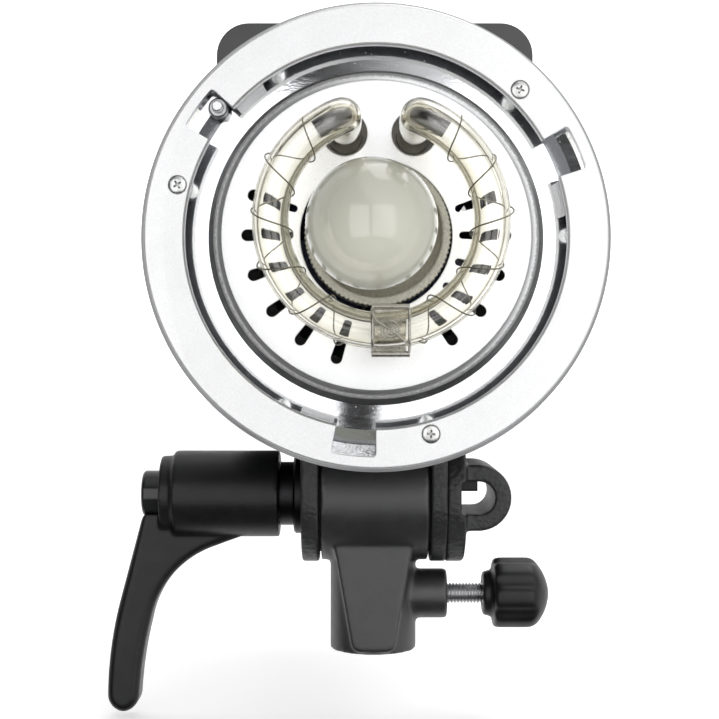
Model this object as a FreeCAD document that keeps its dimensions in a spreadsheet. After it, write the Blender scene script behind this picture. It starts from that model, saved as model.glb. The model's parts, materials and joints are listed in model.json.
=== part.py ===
import FreeCAD, Part
import math
import os
import re
import Sketcher
from FreeCAD import Placement, Rotation, Vector

# Monolight strobe. Frame: origin at the mouth of the stand socket, +Z up the socket,
# the lamp faces -Y, +X is on the right of someone who looks at the lamp's face.
# Depths in the head are counted from the mount ring's face, backwards (+Y).

SIZES = {
    # places of the main axes
    "tilt_up": (59, "tilt axis above the socket mouth"),
    "lamp_up": (149, "lamp axis above the socket mouth"),
    "face_back": (-105, "mount ring's face, along Y from the tilt axis"),
    "slack": (0.3, "gap between parts that pass each other"),
    "running": (0.05, "radial clearance of a shaft that turns or slides"),
    # bracket
    "stem_r": (16.35, "bracket stem"),
    "stem_top": (40, "stem runs up into the barrel"),
    "barrel_r": (25.2, "bracket barrel round the tilt bolt"),
    "barrel_left": (-19.6, "barrel's left end"),
    "barrel_right": (20.7, "barrel's right end"),
    "rib_front": (18, "flat face of the front rib from the stem's axis"),
    "rib_low": (1.2, "rib's foot"),
    "rib_high": (57, "rib dies into the barrel"),
    "rib_foot_half": (7.8, "half width of the rib's foot"),
    "rib_head_half": (17.6, "half width of the rib's head"),
    "rib_corner": (3.2, "round of the rib's foot"),
    "socket_r": (8.1, "stand socket for a 16 mm spigot"),
    "socket_deep": (34, "depth of the stand socket"),
    "liner_wall": (1.6, "wall of the socket liner"),
    "boss_up": (20.7, "height of the stand clamp's axis"),
    "boss_r": (9.4, "stand clamp boss"),
    "boss_right": (28.2, "boss's end face"),
    "boss_bore_in": (15.5, "inner end of the clamp screw's bore"),
    # stand clamp
    "clamp_screw_r": (4, "clamp screw"),
    "clamp_pitch": (1.25, "pitch of the clamp screw"),
    "clamp_pad_in": (8.6, "clamp pad's face from the stem's axis"),
    "clamp_pad_thick": (2.6, "clamp pad"),
    "clamp_pad_r": (3.6, "clamp pad"),
    "knob_in": (45.8, "lobed knob's inner face"),
    "knob_out": (67.5, "lobed knob's outer end"),
    "knob_r": (13.6, "lobed knob"),
    "knob_neck_in": (41.8, "knob's neck"),
    "knob_neck_r": (8.6, "knob's neck"),
    "knob_flutes": (7, "finger flutes round the knob"),
    "flute_r": (3.6, "finger flute"),
    # tilt joint
    "bolt_r": (5, "tilt bolt"),
    "bolt_head_r": (8, "tilt bolt's head"),
    "ear_r": (25.8, "yoke ears round the tilt axis"),
    "ear_left_out": (-27, "left ear's outer face"),
    "ear_left_in": (-20.4, "left ear's inner face"),
    "ear_right_in": (21.4, "right ear's inner face"),
    "ear_right_out": (27.4, "right ear's outer face"),
    "pad_r": (22, "friction washers"),
    "plate_low": (85.6, "underside of the yoke plate"),
    "plate_high": (91, "top of the yoke plate"),
    "plate_half_x": (38, "half width of the yoke plate"),
    "plate_front": (-42, "front edge of the yoke plate"),
    "plate_rear": (46, "rear edge of the yoke plate"),
    "yoke_screw_x": (30, "yoke screws to each side"),
    "yoke_screw_y": (34, "yoke screws to front and rear"),
    "yoke_screw_back": (2, "middle of the yoke screws behind the tilt axis"),
    "yoke_screw_r": (2.1, "yoke screws' shanks"),
    # umbrella holder
    "cap_right": (34.4, "outer face of the round cap"),
    "lobe_x": (39.1, "centre of the umbrella lobe"),
    "lobe_r": (12.3, "umbrella lobe"),
    "lobe_half_y": (20, "half length of the umbrella lobe"),
    "hole_left": (32.4, "flat side of the umbrella hole"),
    "hole_r": (6.1, "round side of the umbrella hole"),
    "hole_x": (39.3, "centre of the umbrella hole's round side"),
    "shoe_right": (39.5, "umbrella shoe's right side"),
    "shoe_low": (1.6, "umbrella shoe's foot above the tilt axis"),
    "shoe_high": (7.4, "umbrella shoe's top above the tilt axis"),
    "shoe_room": (10.2, "top of the shoe's pocket above the tilt axis"),
    "shoe_half_y": (9, "half length of the umbrella shoe"),
    # clamp lever
    "flange_out": (-30.2, "outer face of the steel flange washer"),
    "flange_r": (15.2, "steel flange washer"),
    "collar_out": (-35.8, "outer face of the lever's collar"),
    "collar_r": (12.1, "lever's collar"),
    "hub_out": (-81, "outer end of the lever's hub"),
    "hub_r": (16.5, "lever's hub"),
    "hub_dome": (5, "rounded shoulder of the hub"),
    "tooth_r": (9, "toothed end of the lever insert"),
    "tooth_out": (-48, "outer end of the teeth"),
    "lever_bore_r": (9.6, "spring bore in the hub"),
    "lever_web_out": (-52, "web that the spring leans on"),
    "spindle_r": (3, "lever's spindle screw"),
    "spindle_head_r": (7.2, "spindle screw's head"),
    "spindle_head_in": (-74, "underside of the spindle screw's head"),
    "lever_travel": (5, "how far the lever lifts off its teeth"),
    "end_cap_r": (8.8, "cap in the hub's end"),
    "end_cap_out": (-88.2, "end cap's outer face"),
    "arm_half_y": (7, "half thickness of the lever's arm"),
    "arm_tip_up": (-21, "height of the arm's tip"),
    "arm_tip_out": (-101.3, "outer edge at the tip"),
    "arm_tip_in": (-89.3, "inner edge at the tip"),
    # accessory mount
    "ring_r": (74, "mount ring's outer radius"),
    "ring_face_r": (72.6, "mount ring's face edge"),
    "ring_chamfer": (4, "depth of the mount ring's conical edge"),
    "ring_hole_r": (60, "mount ring's opening"),
    "ring_thick": (3.2, "mount ring's plate"),
    "ring_deep": (14, "depth of the mount ring's skirt"),
    "skirt_wall": (2.8, "mount ring's skirt"),
    "notch_r": (69, "bottom of the three notches"),
    "notch_half": (6, "half angle of a notch"),
    "notch_at": (24, "angle of the first notch"),
    "notch_soft": (1.2, "round of a notch's corners"),
    "floor_deep": (12, "chromed floor behind the mount ring"),
    "floor_thick": (1.2, "chromed floor"),
    "floor_hole_r": (51.5, "hole in the chromed floor"),
    "ring_screw_at": (64.1, "mount ring screws' circle"),
    "ring_screw_turn": (45.5, "angle of the first ring screw"),
    "ring_screw_r": (2.8, "ring screw heads"),
    "ring_shank_r": (1.6, "ring screw shanks"),
    "ring_head_rise": (0.5, "ring screw heads stand proud"),
    "post_r": (4.2, "spacer posts behind the ring"),
    "post_turn": (1, "angle of the first plain spacer post"),
    "stop_from": (126.5, "stop block's first edge"),
    "stop_sweep": (10.5, "angle that a stop block takes"),
    "stop_in_r": (59.6, "stop block's inner radius"),
    "stop_out_r": (69, "stop block's outer radius"),
    "lock_at": (64.4, "lock pin's circle"),
    "lock_turn": (140.6, "angle of the lock pin"),
    "lock_pin_r": (1.7, "lock pin"),
    "lock_sleeve_r": (3.1, "lock pin's sleeve"),
    "lock_travel": (5, "lock pin's travel"),
    "slider_out_r": (75.4, "release slider's grip"),
    # bezel and reflector
    "bezel_r": (70.6, "front bezel's outside"),
    "bezel_wall": (3, "front bezel's wall"),
    "bezel_rear": (43, "front bezel's rear edge"),
    "dish_foot_r": (54.2, "reflector's foot"),
    "dish_foot_deep": (11.6, "reflector's foot"),
    "dish_top_r": (50.5, "reflector's plateau"),
    "dish_top_deep": (-3, "reflector's plateau"),
    "dish_wall": (1, "reflector's sheet"),
    "dish_soft": (2.4, "rounded edge of the plateau"),
    "dish_hole_r": (23.6, "reflector's middle hole"),
    "vent_in": (26.8, "vent slots' inner end"),
    "vent_out": (40, "vent slots' outer end"),
    "vent_in_r": (1.1, "vent slots' narrow end"),
    "vent_out_r": (1.8, "vent slots' wide end"),
    "vent_step": (18, "angle from one vent slot to the next"),
    # flash tube and lamp
    "tube_shift_x": (1, "flash tube's set to the right of the lamp axis"),
    "tube_shift_z": (1.2, "flash tube's set above the lamp axis"),
    "tube_ring_r": (31.5, "flash tube's ring, centre line"),
    "tube_r": (5.25, "flash tube's outside"),
    "tube_bore_r": (4.05, "flash tube's inside"),
    "tube_deep": (-41, "plane of the flash tube's ring"),
    "tube_gap_half": (32, "half the ring's open angle"),
    "tube_bend_r": (7, "bend from the ring into a leg"),
    "tube_leg_deep": (18, "legs' rear ends"),
    "leg_hole_r": (7, "leg holes in the reflector"),
    "coil_turns": (5, "turns of the trigger wire on each side"),
    "coil_start": (6, "angle from the ring's end to the trigger wire"),
    "coil_clip_gap": (17, "angle from the ring's lowest point to the trigger wire"),
    "coil_wire_r": (0.2, "trigger wire"),
    "coil_loose": (0.75, "trigger wire stands off the glass"),
    "clip_x": (2.6, "tube clip to the right of the ring's lowest point"),
    "clip_rise": (1, "clip's upper bar stands off for the ring's curve"),
    "clip_half_x": (5.1, "tube clip's half width"),
    "clip_half_z": (6.7, "tube clip's half height"),
    "clip_sheet": (0.8, "tube clip's sheet"),
    "holder_r": (23, "porcelain lamp holder"),
    "holder_lip_r": (20, "porcelain lamp holder's mouth"),
    "holder_front": (-2.6, "porcelain lamp holder's lip"),
    "holder_rear": (31, "porcelain lamp holder's back"),
    "globe_r": (19, "bulb's globe"),
    "globe_deep": (-27, "centre of the bulb's globe"),
    "neck_r": (12.6, "bulb's neck"),
    "neck_deep": (-2, "bulb's glass ends in its base"),
    "base_r": (13.1, "bulb's screw base"),
    "base_rear": (22, "rear end of the bulb's base"),
    "lamp_set_z": (1, "lamp holder's set above the lamp axis"),
    # casing
    "case_half_x": (54, "casing's half width"),
    "case_top": (76.5, "casing's top above the lamp axis"),
    "case_low": (58, "casing's bottom below the lamp axis"),
    "case_front": (-59, "casing's front edge"),
    "case_rear": (150, "casing's rear edge"),
    "case_wall": (2.6, "casing's wall"),
    "case_round": (11, "casing's corners"),
    "seam_gap": (0.3, "gap between the two shells"),
    "disc_thick": (3, "front bulkhead"),
    "panel_thick": (3, "rear panel"),
    "panel_set": (4, "rear panel sits inside the shells' rear edge"),
    # rear panel's fittings, along X and up from the lamp axis
    "key_r": (4.2, "round ends of a key"),
    "key_half": (2.6, "half the straight part of a key"),
    "key_up": (32, "row of keys"),
    "key_step": (15.8, "from key to key"),
    "key_proud": (2.2, "keys stand proud of the panel"),
    "screen_x": (-14, "middle of the display"),
    "screen_up": (54, "middle of the display"),
    "screen_half_x": (28, "display window"),
    "screen_half_up": (10, "display window"),
    "dial_x": (33, "power dial"),
    "dial_up": (54, "power dial"),
    "dial_r": (11, "power dial"),
    "dial_proud": (13, "power dial"),
    "sync_x": (42, "sync socket"),
    "sync_r": (3.2, "sync socket's bore"),
    "cell_x": (28, "slave cell"),
    "cell_r": (6, "slave cell's dome"),
    "fan_x": (21, "fan's axis"),
    "fan_up": (-24, "fan's axis"),
    "fan_half": (25, "fan's frame"),
    "fan_deep": (14, "fan's frame"),
    "fan_bore_r": (23, "fan's bore"),
    "fan_hub_r": (9, "fan's hub"),
    "fan_blades": (7, "fan's blades"),
    "inlet_x": (-32, "mains inlet"),
    "inlet_up": (-38, "mains inlet"),
    "rocker_up": (-12, "power switch"),
    "rocker_half_x": (10, "power switch"),
    "rocker_half_up": (6.5, "power switch"),
    "fuse_x": (-9.6, "fuse holder"),
    "fuse_r": (6, "fuse holder's cap"),
    "grip_up": (12, "handle's bar"),
    "grip_half": (45, "handle's posts from the middle"),
    "grip_r": (7.5, "handle's bar"),
    "grip_off": (32, "handle's bar behind the panel"),
    # inside
    "cap_can_r": (17, "flash capacitors"),
    "cap_can_front": (-44, "flash capacitors' front ends"),
    "cap_can_rear": (58, "flash capacitors' rear ends"),
    "board_half_x": (42, "main board"),
    "board_front": (-40, "main board's front edge"),
    "board_rear": (112, "main board's rear edge"),
    "board_thick": (1.6, "circuit boards"),
    "case_screw_r": (2.6, "casing screw heads"),
}

doc = FreeCAD.newDocument("monolight_strobe")
dims = doc.addObject("Spreadsheet::Sheet", "dims")
for row, (word, (number, note)) in enumerate(SIZES.items(), start=1):
    dims.set(f"A{row}", word)
    dims.set(f"B{row}", str(number))
    dims.set(f"C{row}", note)
    dims.setAlias(f"B{row}", word)
doc.recompute()

WORD = re.compile(r"\b([a-z]\w*)\b(?!\()")
NORMAL_SIGN = {"XY": 1, "XZ": -1, "YZ": 1}
PLANE_ACROSS = {"X": "YZ", "Y": "XZ", "Z": "XY"}


def bound(text):
    """The same sum, with each size's name pointing at the sheet."""
    return WORD.sub(r"dims.\1", str(text))


def size(text):
    """What a sum of sizes comes to now."""
    return float(dims.evalExpression(bound(text)))


def arc(across, up, radius, turn):
    """A stretch of outline: a round of this radius to a point, less than half a circle."""
    return (across, up, radius, turn)


def circle(across, up, radius):
    return [("circle", across, up, radius)]


def rectangle(low_a, high_a, low_b, high_b):
    return [(low_a, low_b), (high_a, low_b), (high_a, high_b), (low_a, high_b)]


def rounded(low_a, high_a, low_b, high_b, radius):
    """A rectangle with four equal round corners."""
    return [
        arc(f"{low_a}+{radius}", low_b, radius, "left"),
        (f"{high_a}-({radius})", low_b),
        arc(high_a, f"{low_b}+{radius}", radius, "left"),
        (high_a, f"{high_b}-({radius})"),
        arc(f"{high_a}-({radius})", high_b, radius, "left"),
        (f"{low_a}+{radius}", high_b),
        arc(low_a, f"{high_b}-({radius})", radius, "left"),
        (low_a, f"{low_b}+{radius}"),
    ]


def polar(radius, angle):
    """Point at a radius and an angle from +X, as two sums."""
    return (f"({radius})*cos({angle})", f"({radius})*sin({angle})")


def arc_centre(start, end, radius, turn):
    """Centre of the round that leaves start and reaches end, turning left or right."""
    chord = end - start
    half = chord.Length / 2
    side = Vector(-chord.y, chord.x, 0).normalize()
    reach = math.sqrt(max(radius * radius - half * half, 0))
    return (start + end) / 2 + side * (reach if turn == "left" else -reach)


def draw_circle(sketch, across, up, radius):
    place = Vector(size(across), size(up), 0)
    index = sketch.addGeometry(Part.Circle(place, Vector(0, 0, 1), size(radius)), False)
    for kind, text in (("DistanceX", across), ("DistanceY", up)):
        rule = sketch.addConstraint(Sketcher.Constraint(kind, -1, 1, index, 3, size(text)))
        sketch.setExpression(f"Constraints[{rule}]", bound(text))
    rule = sketch.addConstraint(Sketcher.Constraint("Radius", index, size(radius)))
    sketch.setExpression(f"Constraints[{rule}]", bound(radius))


def draw_outline(sketch, points):
    """A closed outline of straight and round stretches, every point bound to the sheet."""
    places = [Vector(size(point[0]), size(point[1]), 0) for point in points]
    ends = []
    for index, point in enumerate(points):
        start = places[index - 1]
        end = places[index]
        if len(point) == 2:
            edge = sketch.addGeometry(Part.LineSegment(start, end), False)
            ends.append((edge, 1, 2))
            continue
        radius = size(point[2])
        centre = arc_centre(start, end, radius, point[3])
        whole = Part.Circle(centre, Vector(0, 0, 1), radius)
        first, last = (start, end) if point[3] == "left" else (end, start)
        angles = [math.atan2(spot.y - centre.y, spot.x - centre.x) for spot in (first, last)]
        edge = sketch.addGeometry(Part.ArcOfCircle(whole, angles[0], angles[1]), False)
        ends.append((edge, 1, 2) if point[3] == "left" else (edge, 2, 1))
    for index, (edge, first, last) in enumerate(ends):
        next_edge, next_first, _ = ends[(index + 1) % len(ends)]
        sketch.addConstraint(Sketcher.Constraint("Coincident", edge, last, next_edge, next_first))
    for (edge, first, last), point in zip(ends, points):
        for kind, text in (("DistanceX", point[0]), ("DistanceY", point[1])):
            rule = sketch.addConstraint(Sketcher.Constraint(kind, -1, 1, edge, last, size(text)))
            sketch.setExpression(f"Constraints[{rule}]", bound(text))
        if len(point) > 2:
            rule = sketch.addConstraint(Sketcher.Constraint("Radius", edge, size(point[2])))
            sketch.setExpression(f"Constraints[{rule}]", bound(point[2]))


class Piece:
    """One sub-part: a PartDesign body, placed at a point of the object's frame."""

    def __init__(self, name, at=("0", "0", "0"), turn_y=0.0):
        self.name = name
        self.body = doc.addObject("PartDesign::Body", name)
        self.body.Label = name
        self.body.Placement = Placement(Vector(), Rotation(Vector(0, 1, 0), -turn_y))
        for letter, text in zip("xyz", at):
            self.body.setExpression(f"Placement.Base.{letter}", bound(text))
        self.sketches = 0

    def sketch(self, plane, loops, offset, spin="0"):
        self.sketches += 1
        sketch = self.body.newObject("Sketcher::SketchObject", f"{self.name}_sketch{self.sketches}")
        origin = next(item for item in self.body.Origin.OriginFeatures if item.Role == f"{plane}_Plane")
        sketch.AttachmentSupport = [(origin, "")]
        sketch.MapMode = "FlatFace"
        sketch.AttachmentOffset = Placement(Vector(), Rotation(Vector(0, 0, 1), size(spin)))
        sign = "-" if NORMAL_SIGN[plane] < 0 else ""
        sketch.setExpression("AttachmentOffset.Base.z", bound(f"{sign}({offset})"))
        for loop in loops:
            if loop[0][0] == "circle":
                draw_circle(sketch, *loop[0][1:])
            else:
                draw_outline(sketch, loop)
        return sketch

    def feature(self, kind, sketch):
        item = self.body.newObject(f"PartDesign::{kind}", f"{self.name}_{kind.lower()}{self.sketches}")
        item.Profile = sketch
        sketch.Visibility = False
        return item

    def pad(self, axis, low, high, *loops, spin="0"):
        """Material between two places along an axis."""
        plane = PLANE_ACROSS[axis]
        start = low if NORMAL_SIGN[plane] > 0 else high
        item = self.feature("Pad", self.sketch(plane, loops, start, spin))
        item.setExpression("Length", bound(f"({high})-({low})"))
        return item

    def pocket(self, axis, low, high, *loops, spin="0"):
        """A cut between two places along an axis."""
        plane = PLANE_ACROSS[axis]
        doc.recompute()
        before = self.body.Shape.Volume
        start = high if NORMAL_SIGN[plane] > 0 else low
        item = self.feature("Pocket", self.sketch(plane, loops, start, spin))
        item.setExpression("Length", bound(f"({high})-({low})"))
        doc.recompute()
        if not self.body.Shape.Volume < before - 0.01:
            raise RuntimeError(f"{item.Name} cuts nothing")
        return item

    def turned(self, axis, profile):
        """Material turned round the body's own axis; a profile point is (along, radius)."""
        if axis == "Z":
            points = [(point[1], point[0], *point[2:]) for point in profile]
            item = self.feature("Revolution", self.sketch("XZ", [points], "0"))
            item.ReferenceAxis = (item.Profile[0], ["V_Axis"])
        else:
            plane = "YZ" if axis == "Y" else "XZ"
            item = self.feature("Revolution", self.sketch(plane, [profile], "0"))
            item.ReferenceAxis = (item.Profile[0], ["H_Axis"])
        item.Angle = 360
        return item

    def around(self, item, count, angle="360"):
        """Repeats a feature about its sketch's normal."""
        pattern = self.body.newObject("PartDesign::PolarPattern", f"{item.Name}_round")
        pattern.Originals = [item]
        pattern.Axis = (item.Profile[0], ["N_Axis"])
        pattern.setExpression("Angle", bound(angle))
        pattern.setExpression("Occurrences", bound(count))
        self.body.Tip = pattern
        return pattern

    def along(self, item, direction, length, count):
        """Repeats a feature in a line, along its sketch's H_Axis or V_Axis."""
        pattern = self.body.newObject("PartDesign::LinearPattern", f"{item.Name}_row")
        pattern.Originals = [item]
        pattern.Direction = (item.Profile[0], [direction])
        pattern.setExpression("Length", bound(length))
        pattern.setExpression("Occurrences", bound(count))
        self.body.Tip = pattern
        return pattern

    def soften(self, kind, amount, wanted):
        """Rounds or bevels the edges that wanted picks."""
        doc.recompute()
        tip = self.body.Tip
        names = [f"Edge{n}" for n, edge in enumerate(tip.Shape.Edges, start=1) if wanted(edge)]
        if not names:
            raise RuntimeError(f"no edge to soften on {self.name}")
        item = self.body.newObject(f"PartDesign::{kind}", f"{self.name}_{kind.lower()}{len(names)}")
        item.Base = (tip, names)
        item.setExpression("Radius" if kind == "Fillet" else "Size", bound(amount))
        return item


def lies(edge, letter, text):
    """True for an edge that lies whole in the plane where this coordinate is text."""
    box = edge.BoundBox
    low = getattr(box, f"{letter}Min")
    high = getattr(box, f"{letter}Max")
    return abs(low - size(text)) < 0.02 and abs(high - size(text)) < 0.02


def straight(edge, direction):
    """True for a straight edge along a direction."""
    if edge.Curve.TypeId != "Part::GeomLine":
        return False
    return abs(abs(edge.Curve.Direction.dot(direction)) - 1) < 1e-6


ALONG_X = Vector(1, 0, 0)
ALONG_Y = Vector(0, 1, 0)
TILT = ("0", "0", "tilt_up")
FACE = ("0", "face_back", "lamp_up")
LAMP = ("0", "0", "lamp_up")
PANEL_OUT = "case_rear-panel_set"
PANEL_IN = "case_rear-panel_set-panel_thick"


# ---------------------------------------------------------------- bracket

def bracket_casting():
    """Stem with the stand socket, barrel for the tilt bolt, front and rear ribs, clamp boss."""
    piece = Piece("bracket_casting")
    piece.pad("Z", "0", "stem_top", circle("0", "0", "stem_r"))
    piece.pad("X", "barrel_left", "barrel_right", circle("0", "tilt_up", "barrel_r"))
    slope = "(rib_head_half-rib_foot_half)/(rib_high-rib_low)"
    rib = [
        ("rib_head_half", "rib_high"),
        ("-rib_head_half", "rib_high"),
        (f"-rib_foot_half-rib_corner*{slope}", "rib_low+rib_corner"),
        arc("-rib_foot_half+rib_corner", "rib_low", "rib_corner*1.06", "left"),
        ("rib_foot_half-rib_corner", "rib_low"),
        arc(f"rib_foot_half+rib_corner*{slope}", "rib_low+rib_corner", "rib_corner*1.06", "left"),
    ]
    piece.pad("Y", "-rib_front", "rib_front", rib)
    piece.pad("X", "0", "boss_right", circle("0", "boss_up", "boss_r"))
    piece.soften("Fillet", "1", lambda edge: lies(edge, "X", "boss_right"))
    piece.pocket("X", "barrel_left-1", "barrel_right+1", circle("0", "tilt_up", "bolt_r+running"))
    piece.pocket("X", "boss_bore_in", "boss_right+1", circle("0", "boss_up", "clamp_screw_r+running"))
    piece.pocket("X", "clamp_pad_in-2", "boss_bore_in+0.5", circle("0", "boss_up", "clamp_screw_r+slack"))
    piece.pocket("Z", "-1", "socket_deep", circle("0", "0", "socket_r+liner_wall"))


def stand_socket_liner():
    """Thin sleeve that grips the stand's spigot, with a hole for the clamp pad."""
    piece = Piece("stand_socket_liner")
    piece.pad("Z", "0", "socket_deep", circle("0", "0", "socket_r+liner_wall"), circle("0", "0", "socket_r"))
    piece.pocket("X", "0", "socket_r+liner_wall+1", circle("0", "boss_up", "clamp_screw_r+slack"))


def stand_clamp_pad():
    """Brass pad that the screw pushes against the spigot."""
    piece = Piece("stand_clamp_pad", ("0", "0", "boss_up"))
    piece.pad("X", "clamp_pad_in", "clamp_pad_in+clamp_pad_thick", circle("0", "0", "clamp_pad_r"))
    piece.soften("Fillet", "0.6", lambda edge: lies(edge, "X", "clamp_pad_in"))


def stand_clamp_screw():
    """Clamp screw; the stretch between boss and knob shows its thread as rings."""
    piece = Piece("stand_clamp_screw", ("0", "0", "boss_up"))
    crest = "clamp_screw_r"
    root = "clamp_screw_r-clamp_pitch*0.5"
    turns = int(size("(knob_neck_in-boss_right)/clamp_pitch"))
    profile = [("clamp_pad_in+clamp_pad_thick", "0"), ("knob_neck_in+6", "0"), ("knob_neck_in+6", crest)]
    for turn in range(turns):
        profile.append((f"knob_neck_in-clamp_pitch*{turn}", crest))
        profile.append((f"knob_neck_in-clamp_pitch*{turn + 0.5}", root))
    profile.append((f"knob_neck_in-clamp_pitch*{turns}", crest))
    profile.append(("clamp_pad_in+clamp_pad_thick", crest))
    profile[-1] = ("clamp_pad_in+clamp_pad_thick+0.8", crest)
    profile.append(("clamp_pad_in+clamp_pad_thick", "clamp_screw_r-0.8"))
    piece.turned("X", profile)


def stand_clamp_knob():
    """Lobed plastic knob with a neck and a domed end."""
    piece = Piece("stand_clamp_knob", ("0", "0", "boss_up"))
    piece.turned("X", [
        ("knob_neck_in", "0"),
        ("knob_out", "0"),
        arc("knob_out-6", "knob_r-0.6", "knob_r*1.45", "left"),
        arc("knob_out-8", "knob_r", "2.4", "left"),
        ("knob_in+1.5", "knob_r"),
        arc("knob_in", "knob_r-1.5", "1.5", "left"),
        ("knob_in", "knob_neck_r"),
        ("knob_neck_in", "knob_neck_r"),
    ])
    flute = piece.pocket("X", "knob_in-0.5", "knob_out+1", circle("knob_r+flute_r*0.62", "0", "flute_r"))
    piece.around(flute, "knob_flutes")
    piece.pocket("X", "knob_neck_in-1", "knob_neck_in+6", circle("0", "0", "clamp_screw_r"))


# ---------------------------------------------------------------- tilt joint

def ear_outline(radius, top):
    """A flat-topped ear round the tilt axis, in the plane across it (Y, Z)."""
    return [
        (radius, top),
        (f"-({radius})", top),
        (f"-({radius})", "tilt_up"),
        arc("0", f"tilt_up-({radius})", radius, "left"),
        arc(radius, "tilt_up", radius, "left"),
    ]


def yoke_screw_spots(radius):
    """The four holes that the yoke's screws pass through."""
    return [circle(f"{a}*yoke_screw_x", f"{b}*yoke_screw_y+yoke_screw_back", radius)
            for a in (-1, 1) for b in (-1, 1)]


def tilt_yoke():
    """Plate under the casing with two ears that straddle the bracket's barrel."""
    piece = Piece("tilt_yoke")
    piece.pad("Z", "plate_low", "plate_high",
              rounded("-plate_half_x", "plate_half_x", "plate_front", "plate_rear", "8"))
    for low, high in (("ear_left_out", "ear_left_in"), ("ear_right_in", "ear_right_out")):
        piece.pad("X", low, high, ear_outline("ear_r", "plate_low+1"))
    piece.soften("Fillet", "0.8", lambda edge: lies(edge, "X", "ear_left_out") and edge.Length > 30)
    piece.pocket("X", "ear_left_out-1", "ear_right_out+1", circle("0", "tilt_up", "bolt_r"))
    piece.pocket("Z", "plate_low-1", "plate_high+1", *yoke_screw_spots("yoke_screw_r+0.1"))


def tilt_friction_washers():
    """Two fibre washers between the ears and the barrel."""
    piece = Piece("tilt_friction_washers", TILT)
    for low, high in (("ear_left_in", "barrel_left-0.1"), ("barrel_right+0.1", "ear_right_in")):
        piece.pad("X", low, high, circle("0", "0", "pad_r"), circle("0", "0", "bolt_r+0.4"))


def tilt_bolt():
    """Bolt on the tilt axis; its hexagon sits in the cap, its thread holds the lever insert."""
    piece = Piece("tilt_bolt", TILT)
    hexagon = [polar("bolt_head_r", f"{60 * corner}") for corner in range(6)]
    piece.pad("X", "tooth_out+2", "ear_right_out+1", circle("0", "0", "bolt_r"))
    piece.pad("X", "ear_right_out", "ear_right_out+4", hexagon)


def umbrella_holder():
    """Round cap on the right ear with a lobe that carries the umbrella's shaft."""
    piece = Piece("umbrella_holder")
    piece.pad("X", "ear_right_out", "cap_right", circle("0", "tilt_up", "ear_r"))
    piece.soften("Fillet", "1.2", lambda edge: lies(edge, "X", "cap_right"))
    piece.pad("Y", "-lobe_half_y", "lobe_half_y", [
        ("ear_right_out", "tilt_up-lobe_r"),
        ("lobe_x", "tilt_up-lobe_r"),
        arc("lobe_x+lobe_r", "tilt_up", "lobe_r", "left"),
        arc("lobe_x", "tilt_up+lobe_r", "lobe_r", "left"),
        ("ear_right_out", "tilt_up+lobe_r"),
    ])
    piece.soften("Fillet", "0.9", lambda edge: (
        lies(edge, "Y", "-lobe_half_y") or lies(edge, "Y", "lobe_half_y")))
    piece.pocket("Y", "-ear_r-1", "ear_r+1", [
        ("hole_left", "tilt_up-hole_r"),
        ("hole_x", "tilt_up-hole_r"),
        arc("hole_x+hole_r", "tilt_up", "hole_r", "left"),
        arc("hole_x", "tilt_up+hole_r", "hole_r", "left"),
        ("hole_left", "tilt_up+hole_r"),
    ])
    piece.pocket("Y", "-shoe_half_y-slack", "shoe_half_y+slack",
                 rectangle("hole_left", "shoe_right+slack", "tilt_up", "tilt_up+shoe_room"))
    piece.pocket("X", "ear_right_out-1", "ear_right_out+4.2", circle("0", "tilt_up", "bolt_head_r+slack"))


def umbrella_shoe():
    """Sprung block that presses the umbrella's shaft into the round side of the hole."""
    piece = Piece("umbrella_shoe")
    piece.pad("Y", "-shoe_half_y", "shoe_half_y",
              rectangle("hole_left+slack", "shoe_right", "tilt_up+shoe_low", "tilt_up+shoe_high"))
    piece.soften("Chamfer", "0.6", lambda edge: (
        straight(edge, ALONG_X) and lies(edge, "Z", "tilt_up+shoe_low")))


def umbrella_shoe_spring():
    """Flat leaf between the shoe and the top of its pocket."""
    piece = Piece("umbrella_shoe_spring")
    piece.pad("Y", "-shoe_half_y+2", "shoe_half_y-2",
              rectangle("hole_left+1.2", "shoe_right-1", "tilt_up+shoe_high", "tilt_up+shoe_room"))


# ---------------------------------------------------------------- clamp lever

def lever_flange_washer():
    """Steel washer between the left ear and the lever."""
    piece = Piece("lever_flange_washer", TILT)
    piece.pad("X", "flange_out", "ear_left_out", circle("0", "0", "flange_r"), circle("0", "0", "bolt_r+0.2"))
    piece.soften("Chamfer", "0.7", lambda edge: lies(edge, "X", "flange_out") and edge.Length > 80)


def lever_insert():
    """Threaded collar with a toothed end that the lever's hub drops over."""
    piece = Piece("lever_insert", TILT)
    piece.turned("X", [
        ("tooth_out", "spindle_r"),
        ("flange_out-0.1", "spindle_r"),
        ("flange_out-0.1", "collar_r"),
        ("collar_out+0.4", "collar_r"),
        ("collar_out+0.4", "tooth_r"),
        ("tooth_out", "tooth_r"),
    ])
    piece.pocket("X", "tooth_out+2", "flange_out+1", circle("0", "0", "bolt_r+running"))
    tooth = piece.pocket("X", "tooth_out-1", "tooth_out+6", circle("tooth_r", "0", "0.9"))
    piece.around(tooth, "16")


def lever_spindle():
    """Screw that ties the lever to its insert and carries the spring."""
    piece = Piece("lever_spindle", TILT)
    piece.pad("X", "spindle_head_in", "tooth_out+1.9", circle("0", "0", "spindle_r"))
    piece.pad("X", "spindle_head_in-2.5", "spindle_head_in", circle("0", "0", "spindle_head_r"))
    piece.pocket("X", "spindle_head_in-3", "spindle_head_in-1", rectangle("-5", "5", "-0.6", "0.6"))


def lever_spring():
    """Coil spring round the spindle, drawn as its outer sleeve."""
    piece = Piece("lever_spring", TILT)
    piece.pad("X", "spindle_head_in", "lever_web_out",
              circle("0", "0", "spindle_head_r-0.3"), circle("0", "0", "spindle_r+1.2"))


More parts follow.
